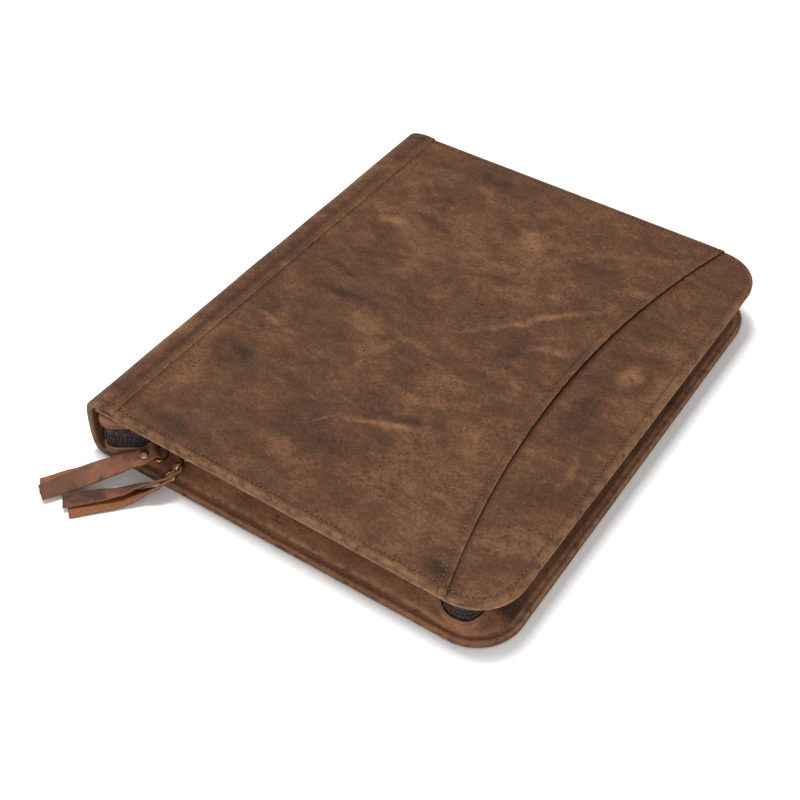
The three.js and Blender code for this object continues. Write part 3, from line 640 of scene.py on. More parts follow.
# %% Pocket panel
def pocket():
    radius, hide = 2.35, 1.15
    top, bottom = CASE_HEIGHT, FRONT_UNDERSIDE - 0.1
    quarter = radius * pi / 2
    end = 2 * quarter + (top - bottom - 2 * radius) + 3.5
    proud = 0.15
    along = lengthwise(radius, edge_lines(radius, end), proud=proud)
    edge = HALF_LENGTH + proud - radius
    from_mouth = (
        12, 9.5, 7.5, 6.3, 5.6, 5.2, 4.8, 4.4, 4, 3.3, 2.3, 1.4, 0.8, 0.5, 0.3, 0.15, 0.05, 0,
    )
    across = [k / 48 for k in range(48)] + [1 + HEM - d for d in from_mouth]

    def place(u, y, side):
        s = abs(y) - edge
        out, z, face_out, face_up = rolled(s, radius, top, bottom)
        way = 1 if y >= 0 else -1
        flat_y = way * (edge + out) if s > 0 else y
        mouth = mouth_at(flat_y)
        x = lerp(CLEARANCE, mouth - HEM, u) if u <= 1 else mouth - HEM + (u - 1)
        before = mouth - x
        row = groove(s - (radius - STITCH_INSET)) if s < 1 else 0
        hem_row = groove(before - HEM_ROW, FINE_ROW_DEPTH) if s < 4 else 0
        calm = (1 - smooth(-4, 0.5, s)) * smooth(0, 14, before)
        lift = row + hem_row
        lift += 0.34 * ripple(x, flat_y, 44, 1.3) * calm
        lift += 0.12 * ripple(x, flat_y, 13, 5.9) * calm
        lift += 0.16 * smooth(HEM_ROW + 1, HEM_ROW - 1, before) * (1 - smooth(-1, 1, s))
        roll = 0.35 * smooth(0.5, 0, before) ** 2
        gape = 0.9 * mouth_open(flat_y) * smooth(9, 0, before)
        depth = (1 - side) / 2 * hide
        distance = gape + (lift - roll if side > 0 else -depth)
        point = Vector((x, flat_y + way * face_out * distance, z + face_up * distance))
        wear_and_highlight = max(smooth(-1.2, 1.6, s), 0.6 * smooth(1.4, 0.1, before))
        # Painted shade in the stitch grooves of the edge and the hem.
        darkening = max(-row / ROW_DEPTH, -hem_row / FINE_ROW_DEPTH) * ROW_SHADE
        return point, wear_and_highlight, darkening

    return sheet(across, along, place)


finish("pocket_panel_in_hide", pocket(), COVER_HIDE, "cover_leather", "front_pocket")

# %% [markdown]
# ## Spine
# The spine is a stiffened roll whose hide laps over the front panel with a turned edge. Its section is
# a fair curve through a few points, measured as shares of its depth and height. The ends are rounded
# where the hide is turned in.

# %% Spine roll
SPINE_WALL = 4.6
SPINE_HEIGHT = CASE_HEIGHT + 1
SPINE_RIM = 1.4
SPINE_ROW = 2.6  # from the seam to its row of stitches
SPINE_ROW_DEPTH = 0.4
SPINE_SHAPE = [Vector((x * SPINE_DEPTH, z * SPINE_HEIGHT)) for x, z in (
    (-0.012, 1), (-0.3, 1), (-0.58, 0.977), (-0.75, 0.937), (-0.865, 0.872), (-0.935, 0.76),
    (-0.985, 0.55), (-1, 0.3), (-0.965, 0.13), (-0.85, 0.032), (-0.62, 0), (-0.012, 0),
)]
LAP = [(0.9, 44.66), (0.85, 44.85), (0.6, 45.1), (0.1, 45.3)]  # its turned edge on the front panel


def fair_curve(points, t):
    """A point on a smooth curve through all the points, t from 0 to 1."""
    last = len(points) - 1
    i = min(int(t * last), last - 1)
    f = t * last - i
    a, b, c, d = (Vector(points[max(0, min(last, i + k))]) for k in (-1, 0, 1, 2))
    bend = (2 * a - 5 * b + 4 * c - d) * f**2 + (3 * b - a - 3 * c + d) * f**3
    return 0.5 * (2 * b + (c - a) * f + bend)


def heading(curve, points, t, step):
    """Which way a curve through points runs at t."""
    return curve(points, min(1, t + step)) - curve(points, max(0, t - step))


def spine():
    ts = [-1, -0.75, -0.5, -0.25] + [k / 66 for k in range(67)]
    along = lengthwise(SPINE_RIM, edge_lines(SPINE_RIM, SPINE_RIM * pi / 2))

    def place(t, y, side):
        if t < 0:
            middle, outward = Vector(LAP[round((t + 1) * 4)]), Vector((0, 1))
        else:
            middle = fair_curve(SPINE_SHAPE, t)
            way = heading(fair_curve, SPINE_SHAPE, t, 0.004).normalized()
            outward = Vector((way.y, -way.x))
        s = abs(y) - HALF_LENGTH + SPINE_RIM
        out, drop, _, _ = rolled(s, SPINE_RIM, 0, -10)
        on_top = middle.y > 30
        depth = SPINE_ROW_DEPTH if on_top else FINE_ROW_DEPTH if middle.y < 5 else 0
        row = groove(middle.x + SPINE_ROW, depth)
        calm = 1 - smooth(-3, 0.5, s)
        has_end_row = middle.y > 40 and middle.x < -3
        end_row = groove(s - (SPINE_RIM - STITCH_INSET), FINE_ROW_DEPTH) if has_end_row else 0
        lift = drop + min(row, end_row)
        lift += 0.35 * ripple(8 * t, y, 38, 2.2) * calm * smooth(-3.5, -9, middle.x)
        lift -= 0.55 * hump(middle.x + 7.5, 3) * calm * on_top
        if side < 0:
            lift = -SPINE_WALL - drop
            if t < 0:
                middle = Vector((-CLEARANCE, SPINE_HEIGHT))
        flat_y = copysign(HALF_LENGTH - SPINE_RIM + out, y) if s > 0 else y
        point = middle + outward * lift
        if middle.y < 10:
            point.y = max(point.y, 0)
        # Paler at the worn ends and along the lap's turned edge. Over the outer roll the paler band is a
        # painted highlight where light catches it.
        wear_and_highlight = max(smooth(-1.5, 1.2, s), 0.3 * (t < 0.004), 0.55 * smooth(-13, -23, middle.x))
        # Painted shade in the valley beside the lap, and in the stitch grooves.
        valley = hump(middle.x + 6.5, 3.4) * on_top
        valley *= 0.72 + 0.4 * ripple(0, y, 60, 4.4) + 0.2 * ripple(8 * t, y, 9, 1.9)
        darkening = max(
            valley, -row / SPINE_ROW_DEPTH * ROW_SHADE, -end_row / FINE_ROW_DEPTH * ROW_SHADE
        )
        return Vector((point.x, flat_y, point.y)), wear_and_highlight, darkening

    return sheet(ts, along, place)


spine_piece = finish("spine_in_hide", spine(), COVER_HIDE, "cover_leather", "spine")

# %% [markdown]
# ## Gusset
# The gusset is a strip of hide sewn to the inner face of each cover. Near the spine and at the fore
# corners it stands upright; on the straight runs it folds inwards and lies over. Its route follows
# the covers' edge, and a short list says how far its rim is drawn in and how upright it stands.

# %% Route of the gusset and zip
GUSSET_START = 14.5
GUSSET_RIM = 21.5
NEAR_RUN = GUSSET_START + COVER_WIDTH - CORNER_RADIUS
CORNER_RUN = pi / 2 * CORNER_RADIUS
FORE_RUN = 2 * HALF_LENGTH - 2 * CORNER_RADIUS
HALF_ROUTE = NEAR_RUN + CORNER_RUN + FORE_RUN / 2
SPINE_FOLDS = 49.3
CORNER_FOLDS = 24.65

# Each part of the route has its start and length in millimetres, and rows of: a share of that length,
# how far the rim is drawn in as a share of GUSSET_RIM, and how upright the gusset stands.
FOLD_PARTS = [
    (0, SPINE_FOLDS, [
        (0, 0.14, 1), (0.1, -0.1, 1), (0.215, -0.08, 1), (0.315, 0.05, 1), (0.44, 0.25, 1),
        (0.62, 0.52, 0.6), (0.81, 0.83, 0.2), (1, 0.98, 0), (1.3, 1, 0),
    ]),
    (NEAR_RUN, -CORNER_FOLDS, [
        (1.4, 1, 0), (0.8, 0.84, 0.2), (0.45, 0.54, 0.7), (0.25, 0.36, 1),
    ]),
    (NEAR_RUN, CORNER_RUN, [
        (0, 0.3, 1), (0.2, 0.33, 1), (0.4, 0.51, 0.8), (0.7, 0.78, 0.4), (1, 0.93, 0.1),
    ]),
    (NEAR_RUN + CORNER_RUN, FORE_RUN, [(0.08, 1, 0), (0.5, 1, 0)]),
]
FOLDS = [
    (start + length * share, inset, stand)
    for start, length, rows in FOLD_PARTS for share, inset, stand in rows
]


def fold_value(at, column):
    """A column of FOLDS at a place on the route, without overshoot between its rows."""
    last = len(FOLDS) - 1
    i = max(k for k in range(last) if k == 0 or FOLDS[k][0] < at)

    def slope(k):
        if k in (0, last):
            return 0.0
        before = (FOLDS[k][column] - FOLDS[k - 1][column]) / (FOLDS[k][0] - FOLDS[k - 1][0])
        after = (FOLDS[k + 1][column] - FOLDS[k][column]) / (FOLDS[k + 1][0] - FOLDS[k][0])
        return 0.0 if before * after <= 0 else 2 * before * after / (before + after)

    width = FOLDS[i + 1][0] - FOLDS[i][0]
    t = (at - FOLDS[i][0]) / width
    eased = lerp(FOLDS[i][column], FOLDS[i + 1][column], t * t * (3 - 2 * t))
    return eased + t * (1 - t) * width * ((1 - t) * slope(i) - t * slope(i + 1))


def from_end(route):
    """The distance to the nearer end of the route."""
    return min(route, 2 * HALF_ROUTE - route)


def fold_at(route):
    s = from_end(route)
    return fold_value(s, 1) * GUSSET_RIM, fold_value(s, 2)


def edge_at(route):
    """A point on the covers' edge, and the way inwards from it."""
    s = from_end(route)
    side = -1 if route > HALF_ROUTE else 1
    turn = max(0.0, min(pi / 2, (s - NEAR_RUN) / CORNER_RADIUS))
    past = max(s - NEAR_RUN - CORNER_RUN, 0)
    point = Vector((
        min(s, NEAR_RUN) - GUSSET_START + CORNER_RADIUS * sin(turn),
        side * (-HALF_LENGTH + CORNER_RADIUS * (1 - cos(turn)) + past),
    ))
    return point, Vector((-sin(turn), side * cos(turn)))


def on_route(route, inset, z):
    point, inward = edge_at(route)
    return Vector((*(point + inward * inset), z))


# %% Both gussets
LEATHER = 1.6
UPSTAND = 3.2
GUSSET_LIFT = CLEARANCE + LEATHER / 2
ROUTE_STATIONS = steps(0, 2 * HALF_ROUTE, 3.0)
UPSTAND_ROW = 1.5  # from the rim to its row of stitches
FLANGE_ROW = 2.3  # from the cover's edge to the row through flange and board


def gusset_section(level, sense, rise, rim, stand):
    """Corners of the middle line of a gusset: sewn edge, seam, fold, and the upright rim."""
    bend, lift = lerp(4, 0.2, stand), lerp(0.2, 0.28, stand)
    return [
        (0.4, level - sense * 0.9), (1.6, level - sense * 0.15), (5.5 - stand, level + sense * 0.1),
        (5.5 + bend, level + sense * rise * lift),
        (lerp(5.5 + bend, rim, 0.6), level + sense * (rise - UPSTAND) * lerp(0.75, 0.6, stand)),
        (rim, level + sense * (rise - UPSTAND)), (rim, level + sense * rise),
    ]


def gusset(face, sense, rise, seed):
    level = face + sense * GUSSET_LIFT
    half = LEATHER / 2
    us = [-0.03, -0.015] + [k / 44 for k in range(45)] + [1.01, 1.02]

    def place(u, route, side):
        rim, stand = fold_at(route)
        corners = gusset_section(level, sense, rise, rim, stand)
        at = max(0.0, min(1.0, u))
        middle = fair_curve(corners, at)
        way = heading(fair_curve, corners, at, 0.01).normalized()
        normal = Vector((-way.y, way.x)) * sense
        round_edge = 0.0 if 0 <= u <= 1 else half * (0.35 if u in (-0.015, 1.01) else 0.8)
        ease = u * 8 if u < 0 else (u - 1) * 8 if u > 1 else 0
        hang = smooth(0.2, 0.45, at) * (1 - smooth(0.8, 0.95, at)) * (1 - stand)
        wave = 0.5 * ripple(route, 9 * at, 26, seed) * hang
        band = hump(rise - abs(middle.y - level) - UPSTAND_ROW, 0.45) * (at > 0.8)
        flat = hump(middle.x - FLANGE_ROW, 0.5) * (at < 0.4)
        dip = (0.3 * band + 0.22 * flat) if side > 0 else 0
        section = middle + way * ease * 0.8 + normal * (side * (half - round_edge) + wave - dip)
        # Painted highlight along the crest of the folded strip, where light catches it, away from the
        # fore run.
        ridge_highlight = hump(at - 0.37, 0.07) * (1 - 0.4 * stand)
        fore = smooth(NEAR_RUN + 0.65 * CORNER_RUN, NEAR_RUN + CORNER_RUN, from_end(route))
        # Paler flange along the fore run.
        paling = 0.8 * fore * smooth(0.36, 0.28, at)
        wear_and_highlight = max(0.9 * smooth(0.955, 1, at), ridge_highlight * (1 - fore), 0.7 * smooth(0.03, 0, at), paling)
        # Painted shade on the wall under the front cover along the fore run.
        wax_and_shade = fore * (0.8 + 0.4 * ripple(route, 4, 21, 6.2))
        wax_and_shade *= smooth(0.29, 0.37, at) * smooth(0.9, 0.7, at)
        # Painted shade in the grooves of both stitch rows, and on that wall.
        darkening = max(0.7 * band, 0.32 * flat * (1 - 0.75 * fore), wax_and_shade)
        return on_route(route, section.x, section.y), wear_and_highlight, darkening

    return sheet(us, ROUTE_STATIONS, place)


BACK_RISE = 8.9
FRONT_RISE = 6.5
lower = gusset(COVER_THICKNESS, 1, BACK_RISE, 0.6)
finish("lower_gusset", lower, GUSSET_HIDE, "cover_leather", "gusset_lower")
upper = gusset(FRONT_UNDERSIDE, -1, FRONT_RISE, 4.1)
finish("upper_gusset", upper, GUSSET_HIDE, "cover_leather", "gusset_upper")

# %% [markdown]
# ## Zip
# The zip stands upright just behind the gusset's rim: two tapes, and between them a coil chain. Each
# side of the chain is a nylon thread wound in flat loops. Modelled one by one, the loops are small
# rounded rods that stand across the tape, half a pitch apart on the two sides, so that they mesh.

# %% Zip tapes
ZIP_BEHIND = LEATHER / 2 + CLEARANCE + 0.4 + 0.5
CHAIN_LEVEL = 20
CHAIN_WIDTH = 5.6
BACK_RIM = COVER_THICKNESS + GUSSET_LIFT + BACK_RISE
FRONT_RIM = FRONT_UNDERSIDE - GUSSET_LIFT - FRONT_RISE


def tape(low, high, thickness=0.8, wave=0.12):
    def place(z, route, side):
        rim, _ = fold_at(route)
        inset = rim + ZIP_BEHIND - side * thickness / 2
        inset += wave * ripple(route, z, 17, 2.9)
        return on_route(route, inset, z), 0.0, 0.0

    return sheet(steps(low, high, 1.6), ROUTE_STATIONS, place)


lower_tape = tape(BACK_RIM - 2.6, CHAIN_LEVEL - CHAIN_WIDTH / 2 + 0.4)
finish("lower_zip_tape", lower_tape, ZIP_CLOTH, "zip_tape", "zip_tape_lower")
upper_tape = tape(CHAIN_LEVEL + CHAIN_WIDTH / 2 - 0.4, FRONT_RIM + 2.6)
finish("upper_zip_tape", upper_tape, ZIP_CLOTH, "zip_tape", "zip_tape_upper")
core = tape(CHAIN_LEVEL - CHAIN_WIDTH / 2 + 0.2, CHAIN_LEVEL + CHAIN_WIDTH / 2 - 0.2, 0.7, 0)
finish("zip_tape_behind_the_coil", core, ZIP_CLOTH, "zip_coil")

# %% Coil
COIL_PITCH = 2.1


def basis(x, y, z, origin, sizes):
    """A matrix that stands a unit shape at origin, with its axes along x, y and z."""
    columns = [axis.normalized() * size for axis, size in zip((x, y, z), sizes)]
    return Matrix.Translation(origin) @ Matrix(columns).transposed().to_4x4()


def unit_bead(around, up):
    """A small ball of radius 1 to be stretched and repeated."""
    shape = bmesh.new()
    bmesh.ops.create_uvsphere(shape, u_segments=around, v_segments=up, radius=1)
    return shape


def repeated(shape, places):
    """Copies of a small shape, one at each matrix. dive is how far along itself a point is, 0 to 1."""
    bm = bmesh.new()
    dive = bm.verts.layers.float.new("dive")
    for place in places:
        copies = {}
        for vert in shape.verts:
            copies[vert] = bm.verts.new(place @ vert.co)
            copies[vert][dive] = smooth(0.55, 0.95, abs(vert.co.z))
        for face in shape.faces:
            bm.faces.new([copies[vert] for vert in face.verts])
    shape.free()
    return bm


def chain_at(route, behind=0.0, z=CHAIN_LEVEL):
    """A point on the zip's middle surface, or a little outside it."""
    return on_route(route, fold_at(route)[0] + ZIP_BEHIND - behind, z)


def coil():
    places = []
    for k in range(int(2 * (2 * HALF_ROUTE - 4) / COIL_PITCH)):
        route = 2 + k * COIL_PITCH / 2
        level = CHAIN_LEVEL + (1.7 if k % 2 else -1.7)
        here = chain_at(route, 0.75, level)
        along = (chain_at(route + 0.5, 0.75, level) - here).normalized()
        lean = (UP + 0.12 * along).normalized()
        places.append(basis(along, along.cross(lean), lean, here, (0.6, 0.6, 1.4)))
    return repeated(unit_bead(6, 4), places)


finish("zip_coil_loops", coil(), COIL_NYLON, "zip_coil", "zip_chain")

# %% [markdown]
# ## Sliders
# A slider's outline is already right in the solid. Cast metal has no sharp corners, so a copy of it
# is merged and its edges are given a small bevel.

# %% Soften the sliders
def softened(node, width):
    bm = bmesh.new()
    bm.from_mesh(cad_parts[node].data)
    bmesh.ops.remove_doubles(bm, verts=bm.verts, dist=1e-6)
    bmesh.ops.dissolve_limit(bm, angle_limit=0.02, verts=bm.verts, edges=bm.edges)
    sharp = [edge for edge in bm.edges if len(edge.link_faces) == 2 and edge.calc_face_angle() > 0.4]
    bmesh.ops.bevel(
        bm, geom=sharp, offset=width, segments=2, profile=0.5, affect="EDGES", material=-1,
        clamp_overlap=True,
    )
    return bm


for number in (1, 2):
    slider = softened(f"slider_{number}", 0.00022)
    finish(f"cast_slider_{number}", slider, BRASS, "brass_furniture", f"slider_{number}",
           settled=True, smooth_shading=False)

# %% [markdown]
# ## Rings, links, pulls and rivets
# A pull is one strip of hide folded round the straight side of its D-ring and riveted. Each layer
# then goes its own way to its tip. A few points place them, within two millimetres of the solids, and
# slide moves the under layer sideways so that its flesh side shows along one edge.

# %% Where the pulls lie
PULL_WIDTH = 12.2
PULL_LENGTH = 75
PULL_LEATHER = 1.7
RING_WIRE = 1.8
RING_DEPTH = 8.4
LINK_WIRE = 1.1
LINK_WIDTH = 5.2
LINK_TURN = 0.7
RIVET_HEAD = 6.4
RIVET_DOME = 1.4
FIRST_SLIDER = 33.5
SLIDER_SPACING = 15
SLIDER_LENGTH = 13
PLATE_OUTSIDE = 3.7
BAIL_RISE = 4

PULLS = [
    {
        "bar": (-10.05, 5.45, 1.16), "bar_roll": -6, "slide": -2.0,
        "rivet": (-3.2, -4.25, -1.65), "rivet_roll": -6, "bow": (0.09, 0.07, -0.015),
        "upper": [(-0.199, -0.158, -0.102, -14), (-0.348, -0.302, -0.166, -18),
                  (-0.481, -0.461, -0.212, -14), (-0.632, -0.692, -0.237, 0)],
        "lower": [(-0.209, -0.164, -0.134, -14), (-0.368, -0.305, -0.199, -17),
                  (-0.525, -0.44, -0.246, -6), (-0.718, -0.62, -0.264, 0)],
    },
    {
        "bar": (-7.23, 5.6, -2.08), "bar_roll": 54, "slide": 0,
        "rivet": (-1.745, -4.775, -3.15), "rivet_roll": 46, "bow": (0.02, 0.08, 0.06),
        "upper": [(-0.137, -0.158, -0.117, 42), (-0.247, -0.218, -0.164, 38),
                  (-0.355, -0.346, -0.184, 25), (-0.481, -0.467, -0.192, 13),
                  (-0.669, -0.654, -0.201, 4)],
        "lower": [(-0.089, -0.18, -0.127, 40), (-0.172, -0.243, -0.177, 30),
                  (-0.25, -0.322, -0.206, 14), (-0.321, -0.4, -0.218, 4),
                  (-0.441, -0.526, -0.221, 0), (-0.586, -0.684, -0.221, 0)],
    },
]


def across(direction, roll):
    """The way across a pull towards its outer edge, from its direction and roll."""
    level = Vector((-direction.y, direction.x, 0)).normalized()
    lifted = direction.normalized().cross(level)
    turn = radians(roll)
    return level * cos(turn) + lifted * sin(turn)


def pull_axes(number):
    """The ring bar's middle, and at it the ways towards the rivet, across and out of the upper layer."""
    pull = PULLS[number]
    slider_at = Vector((FIRST_SLIDER + number * SLIDER_SPACING, -HALF_LENGTH, CHAIN_LEVEL))
    middle = slider_at + Vector(pull["bar"])
    along = Vector(pull["rivet"]).normalized()
    width = across(along, pull["bar_roll"])
    return middle, along, width, along.cross(width)


def rivet_axes(number):
    middle, along, _, _ = pull_axes(number)
    width = across(along, PULLS[number]["rivet_roll"])
    return middle + Vector(PULLS[number]["rivet"]), width, along.cross(width), along


# %% Pull strips
FOLD_RADIUS = RING_WIRE / 2 + CLEARANCE + PULL_LEATHER / 2 + 0.3
LAYER_OFFSET = PULL_LEATHER / 2 + CLEARANCE / 2


def centripetal(points, t):
    """A point on a centripetal Catmull-Rom curve through the points, t from 0 to 1."""
    last = len(points) - 1
    i = min(int(t * last), last - 1)
    f = t * last - i
    b, c = points[i], points[i + 1]
    a = points[i - 1] if i > 0 else 2 * points[0] - points[1]
    d = points[i + 2] if i + 2 <= last else 2 * points[last] - points[last - 1]
    da, db, dc = (max((q - p).length ** 0.5, 1e-4) for p, q in ((a, b), (b, c), (c, d)))
    start = ((b - a) / da - (c - a) / (da + db) + (c - b) / db) * db
    end = ((c - b) / db - (d - b) / (db + dc) + (d - c) / dc) * db
    return (
        b * (2 * f**3 - 3 * f**2 + 1) + start * (f**3 - 2 * f**2 + f)
        + c * (3 * f**2 - 2 * f**3) + end * (f**3 - f**2)
    )


def tail(number, rows, side):
    """Stations of one layer from the ring's bar to its tip: point, way across and outward face."""
    detail = 8
    middle, along, bar_width, normal = pull_axes(number)
    rivet, _, rivet_normal, _ = rivet_axes(number)
    pinned = rivet + rivet_normal * side * LAYER_OFFSET
    points = [middle + normal * side * FOLD_RADIUS, pinned, pinned + along * RIVET_HEAD / 2]
    points += [middle + Vector(row[:3]) * PULL_LENGTH for row in rows]
    pull = PULLS[number]
    rolls = [pull["bar_roll"], pull["rivet_roll"], pull["rivet_roll"]] + [row[3] for row in rows]
    count = (len(rolls) - 1) * detail
    stations = []
    for k in range(count + 1):
        i = min(k // detail, len(rolls) - 2)
        roll = lerp(rolls[i], rolls[i + 1], smooth(0, 1, k / detail - i))
        t = k / count
        way = heading(centripetal, points, t, 0.002)
        width = bar_width if k == 0 else across(way, roll)
        face = normal if k == 0 else way.normalized().cross(width)
        slide = pull["slide"] * (side < 0) * smooth(0.02, 0.22, t) * smooth(1, 0.85, t)
        stations.append((centripetal(points, t) + width * slide, width, face * side))
    return stations


def pull_strip(number):
    pull = PULLS[number]
    middle, along, width, normal = pull_axes(number)
    arc = []
    for k in range(1, 14):
        turn = pi * k / 14
        face = normal * cos(turn) - along * sin(turn)
        arc.append((middle + face * FOLD_RADIUS, width, face))
    stations = tail(number, pull["upper"], 1)[::-1] + arc + tail(number, pull["lower"], -1)
    last = len(stations) - 1
    half_width, half_hide = PULL_WIDTH / 2, PULL_LEATHER / 2
    us = [-1, -0.985, -0.95, -0.85, -0.6, -0.3, 0, 0.3, 0.6, 0.85, 0.95, 0.985, 1]

    def place(u, v, side):
        point, way, face = stations[round(v)]
        from_tip = min(v, last - v)
        edge = 0.28 * smooth(0.93, 1.0, abs(u)) + 0.2 * smooth(1.5, 0, from_tip)
        fray = 0.22 * ripple(v, 5 * u, 3.3, number + 0.4)
        lift = side * (half_hide - edge) + 0.16 * ripple(v, 3 * u, 6, number + 2.2)
        lift += 0.3 * (abs(u) ** 3) * smooth(8, 0, from_tip)
        point = point + way * (u * half_width + fray * abs(u)) + face * lift
        return point, smooth(0.9, 1.0, abs(u)), smooth(16, 3, from_tip)

    return sheet(us, list(range(last + 1)), place)


for number in (0, 1):
    name = f"folded_pull_{number + 1}"
    finish(name, pull_strip(number), STRAP_LEATHER, "pull_leather", f"pull_{number + 1}")

# %% Rings and links
def closed_wire(path, diameter, sides=12):
    """A round wire along a closed flat path: a circle at each point, bridged to the next."""
    bm = bmesh.new()
    middle = sum(path, Vector()) / len(path)
    normal = (path[1] - middle).cross(path[len(path) // 4] - middle).normalized()
    loops = []
    for i, point in enumerate(path):
        way = (path[(i + 1) % len(path)] - path[i - 1]).normalized()
        ring = bmesh.ops.create_circle(
            bm, segments=sides, radius=diameter / 2,
            matrix=basis(normal, way.cross(normal), way, point, (1, 1, 1)),
        )
        loops.append({edge for vert in ring["verts"] for edge in vert.link_edges})
    for i, loop in enumerate(loops):
        bmesh.ops.bridge_loops(bm, edges=list(loop | loops[(i + 1) % len(loops)]))
    bmesh.ops.recalc_face_normals(bm, faces=bm.faces)
    return bm


def ring_axes(number):
    middle, _, width, _ = pull_axes(number)
    reach = Vector(PULLS[number]["bow"])
    reach -= width * reach.dot(width)
    return middle, width, reach.normalized()


def d_ring(number):
    middle, width, reach = ring_axes(number)
    half = PULL_WIDTH / 2 + 2 * CLEARANCE + RING_WIRE / 2
    shoulder = 1.3
    flat = [
        (-half + shoulder, 0), (-half / 3, -0.05), (half / 3, -0.05), (half - shoulder, 0),
        (half - 0.35, 0.35),
    ]
    for k in range(33):
        turn = pi * k / 32
        flat.append((half * cos(turn), shoulder + (RING_DEPTH - shoulder) * sin(turn)))
    flat.append((-half + 0.35, 0.35))
    return closed_wire([middle + width * u + reach * v for u, v in flat], RING_WIRE)


def slider_hole(number):
    """The place in the slider's bail where the link passes."""
    route = GUSSET_START + FIRST_SLIDER + number * SLIDER_SPACING
    along = (chain_at(route + SLIDER_LENGTH / 2) - chain_at(route - SLIDER_LENGTH / 2)).normalized()
    out = -UP.cross(along)
    return chain_at(route) + out * (PLATE_OUTSIDE + BAIL_RISE / 2 - 0.3) - 0.3 * UP


def link(number):
    middle, width, reach = ring_axes(number)
    start = slider_hole(number)
    along = middle + reach * RING_DEPTH - start
    length = along.length + RING_WIRE / 2 + LINK_WIRE / 2 + 2 * CLEARANCE
    along.normalize()
    rise = width.cross(along).normalized()
    rise.z += LINK_TURN * (1 if rise.z > 0 else -1)
    rise = (rise - along * rise.dot(along)).normalized()
    bulge = 0.3 * LINK_WIDTH
    path = []
    for sense in (1, -1):
        for k in range(13):
            turn = (k / 12 - 0.5) * pi
            u = length / 2 + sense * (length / 2 - bulge + bulge * cos(turn))
            path.append(start + along * u + rise * sense * LINK_WIDTH * sin(turn) / 2)
    return closed_wire(path, LINK_WIRE)


for number in (0, 1):
    for name, shape, node in (("brass_d_ring", d_ring, "pull_ring"), ("brass_link", link, "link")):
        bm = shape(number)
        finish(f"{name}_{number + 1}", bm, BRASS, "brass_furniture", f"{node}_{number + 1}")

# %% Rivets
def rivet(number):
    """A profile from foot to head, spun round its shank."""
    centre, width, normal, along = rivet_axes(number)
    grip = LAYER_OFFSET + PULL_LEATHER / 2 - 0.12
    shank = 1.2
    edge = RIVET_HEAD / 2
    head = [(shank, grip), (edge - 0.1, grip), (edge, grip + 0.12), (edge - 0.05, grip + 0.35)]
    for k in range(1, 8):
        turn = pi / 2 * k / 7
        head.append(((edge - 0.1) * cos(turn), grip + 0.35 + (RIVET_DOME - 0.1) * sin(turn)))
    profile = [(r, -h) for r, h in head[::-1]] + head
    bm = bmesh.new()
    verts = [bm.verts.new((max(r, 0), 0, h)) for r, h in profile]
    edges = [bm.edges.new(pair) for pair in zip(verts, verts[1:])]
    bmesh.ops.spin(
        bm, geom=verts + edges, cent=(0, 0, 0), axis=(0, 0, 1), angle=2 * pi, steps=32,
        use_merge=True,
    )
    bmesh.ops.remove_doubles(bm, verts=bm.verts, dist=0.005)
    bmesh.ops.recalc_face_normals(bm, faces=bm.faces)
    bmesh.ops.transform(bm, matrix=basis(width, along, normal, centre, (1, 1, 1)), verts=bm.verts)
    return bm


for number in (0, 1):
    name = f"brass_rivet_{number + 1}"
    finish(name, rivet(number), BRASS, "brass_furniture", f"rivet_{number + 1}")

# %% [markdown]
# ## Stitches
# The rows are machine-sewn, a little over three millimetres to a stitch. Each stitch is a small
# rounded rod lying in its groove, with both ends pulled down into the needle holes.

# %% Rows of stitches
STITCH_PITCH = 3.2
STITCH_WIDTH = 0.72
STITCH_HEIGHT = 0.6
NEEDLE_HOLE = 0.3


def sew(name, route):
    """Stitches along a list of points in case millimetres, each with the way its surface faces."""
    lengths = [0.0]
    for (a, _), (b, _) in zip(route, route[1:]):
        lengths.append(lengths[-1] + (b - a).length)

    def at(distance):
        distance = max(0.0, min(lengths[-1] - 1e-6, distance))
        i = bisect.bisect_right(lengths, distance) - 1
        f = (distance - lengths[i]) / (lengths[i + 1] - lengths[i])
        (a, up), (b, up_there) = route[i], route[i + 1]
        return a.lerp(b, f), up.lerp(up_there, f).normalized()

    places = []
    for k in range(int(lengths[-1] / STITCH_PITCH)):
        a, _ = at(k * STITCH_PITCH + NEEDLE_HOLE / 2)
        b, _ = at((k + 1) * STITCH_PITCH - NEEDLE_HOLE / 2)
        _, face = at((k + 0.5) * STITCH_PITCH)
        along = (b - a).normalized()
        side = face.cross(along).normalized()
        middle = (a + b) / 2 + face * 0.02
        sizes = (STITCH_WIDTH / 2, STITCH_HEIGHT / 2, (b - a).length / 2)
        places.append(basis(side, along.cross(side), along, middle, sizes))
    finish(name, repeated(unit_bead(6, 6), places), THREAD, "cover_leather")


def cover_row(level_at, face):
    """A row round a cover, inset from its edge, from the spine round the fore edge."""
    route = []
    for at in steps(GUSSET_START + 1.5, 2 * HALF_ROUTE - GUSSET_START - 1, 2):
        point = on_route(at, STITCH_INSET, 0)
        point.z = level_at(point)
        route.append((point, face))
    return route


def long_row(x_at, z, face, pitch, inset):
    """A row from the near end of the case to the far one."""
    along = steps(-HALF_LENGTH + inset, HALF_LENGTH - inset, pitch)
    return [(Vector((x_at(y), y, z)), face) for y in along]


def front_level(point):
    """The front cover's face under its edge row: on the pocket panel, or on the board beyond it."""
    return (CASE_HEIGHT if point.x < mouth_at(point.y) - 0.2 else BASE_TOP) - 0.3


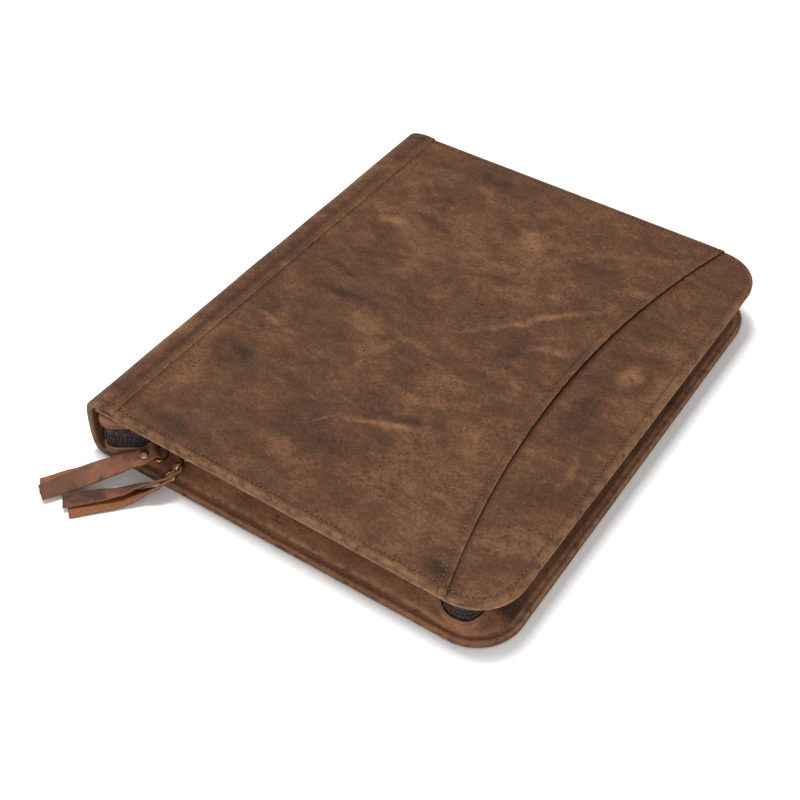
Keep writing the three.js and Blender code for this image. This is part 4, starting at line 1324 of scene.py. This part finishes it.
sew("front_edge_stitches", cover_row(front_level, UP))
sew("back_edge_stitches", cover_row(lambda point: 0.3, -UP))
sew("pocket_hem_stitches", long_row(lambda y: mouth_at(y) - HEM_ROW, CASE_HEIGHT - 0.1, UP, 2, 3))
sew("spine_front_stitches", long_row(lambda y: -SPINE_ROW, SPINE_HEIGHT - 0.35, UP, 3, 2))
sew("spine_back_stitches", long_row(lambda y: -SPINE_ROW, 0.35, -UP, 3, 2))
roll = [fair_curve(SPINE_SHAPE, k / 90) for k in range(9, 30)]
for name, y in (("near", STITCH_INSET - HALF_LENGTH), ("far", HALF_LENGTH - STITCH_INSET)):
    sew(f"spine_{name}_end_stitches", [(Vector((p.x, y, p.y - 0.3)), UP) for p in roll])

# %% Rows on the gussets
flange_top = COVER_THICKNESS + GUSSET_LIFT + LEATHER / 2
flange_route = steps(16, 2 * HALF_ROUTE - 16, 2)
sew("lower_flange_stitches", [(on_route(s, FLANGE_ROW, flange_top - 0.25), UP) for s in flange_route])
for name, sense, rim_level in (("lower", 1, BACK_RIM), ("upper", -1, FRONT_RIM)):
    rows = []
    for s in steps(1, 2 * HALF_ROUTE - 1, 1.5):
        spot = on_route(s, fold_at(s)[0] - LEATHER / 2 + 0.2, rim_level - sense * UPSTAND_ROW)
        rows.append((spot, -edge_at(s)[1].to_3d()))
    sew(f"{name}_rim_stitches", rows)

# %% [markdown]
# ## Floor and light
# A white floor under a wide pale sky. One soft lamp hangs almost overhead, a little towards the
# spine, so that a soft shadow falls beyond the fore edge. A weak one lights the near end from low down.

# %% Floor and lamps
def floor_paint():
    material, tree, surface, place = new_material("white_studio_paint")
    fill_sockets(surface, {
        "Base Color": tint(tree, "#f4f4f4", "#f6f6f6", blotches(tree, place, 400, 0.3, 0.7)),
        "Roughness": 0.9, "Specular IOR Level": 0.1,
    })
    return material


floor_mesh = bmesh.new()
bmesh.ops.create_grid(floor_mesh, x_segments=1, y_segments=1, size=4)
floor_data = bpy.data.meshes.new("floor")
floor_mesh.to_mesh(floor_data)
floor_mesh.free()
floor_data.materials.append(floor_paint())
floor_data.transform(Matrix.Translation((0, 0, -0.0002)))
floor = bpy.data.objects.new("floor", floor_data)
scene.collection.objects.link(floor)


def lamp(name, place, aim, size, power):
    data = bpy.data.lights.new(name, "AREA")
    data.shape = "RECTANGLE"
    data.size, data.size_y = size
    data.energy = power
    made = bpy.data.objects.new(name, data)
    made.location = place
    made.rotation_euler = (Vector(aim) - Vector(place)).to_track_quat("-Z", "Y").to_euler()
    scene.collection.objects.link(made)


lamp("key", (-0.2, 0.0, 1.6), (0, 0, 0), (0.42, 0.42), 25)
lamp("fill", (0.35, -1.2, 0.42), (0, -0.1, 0), (1.4, 0.5), 6)
world = bpy.data.worlds.new("studio")
world.use_nodes = True
sky = world.node_tree.nodes["Background"]
sky.inputs["Color"].default_value = colour("#ffffff")
sky.inputs["Strength"].default_value = 0.68
scene.world = world
scene.view_settings.view_transform = "Standard"
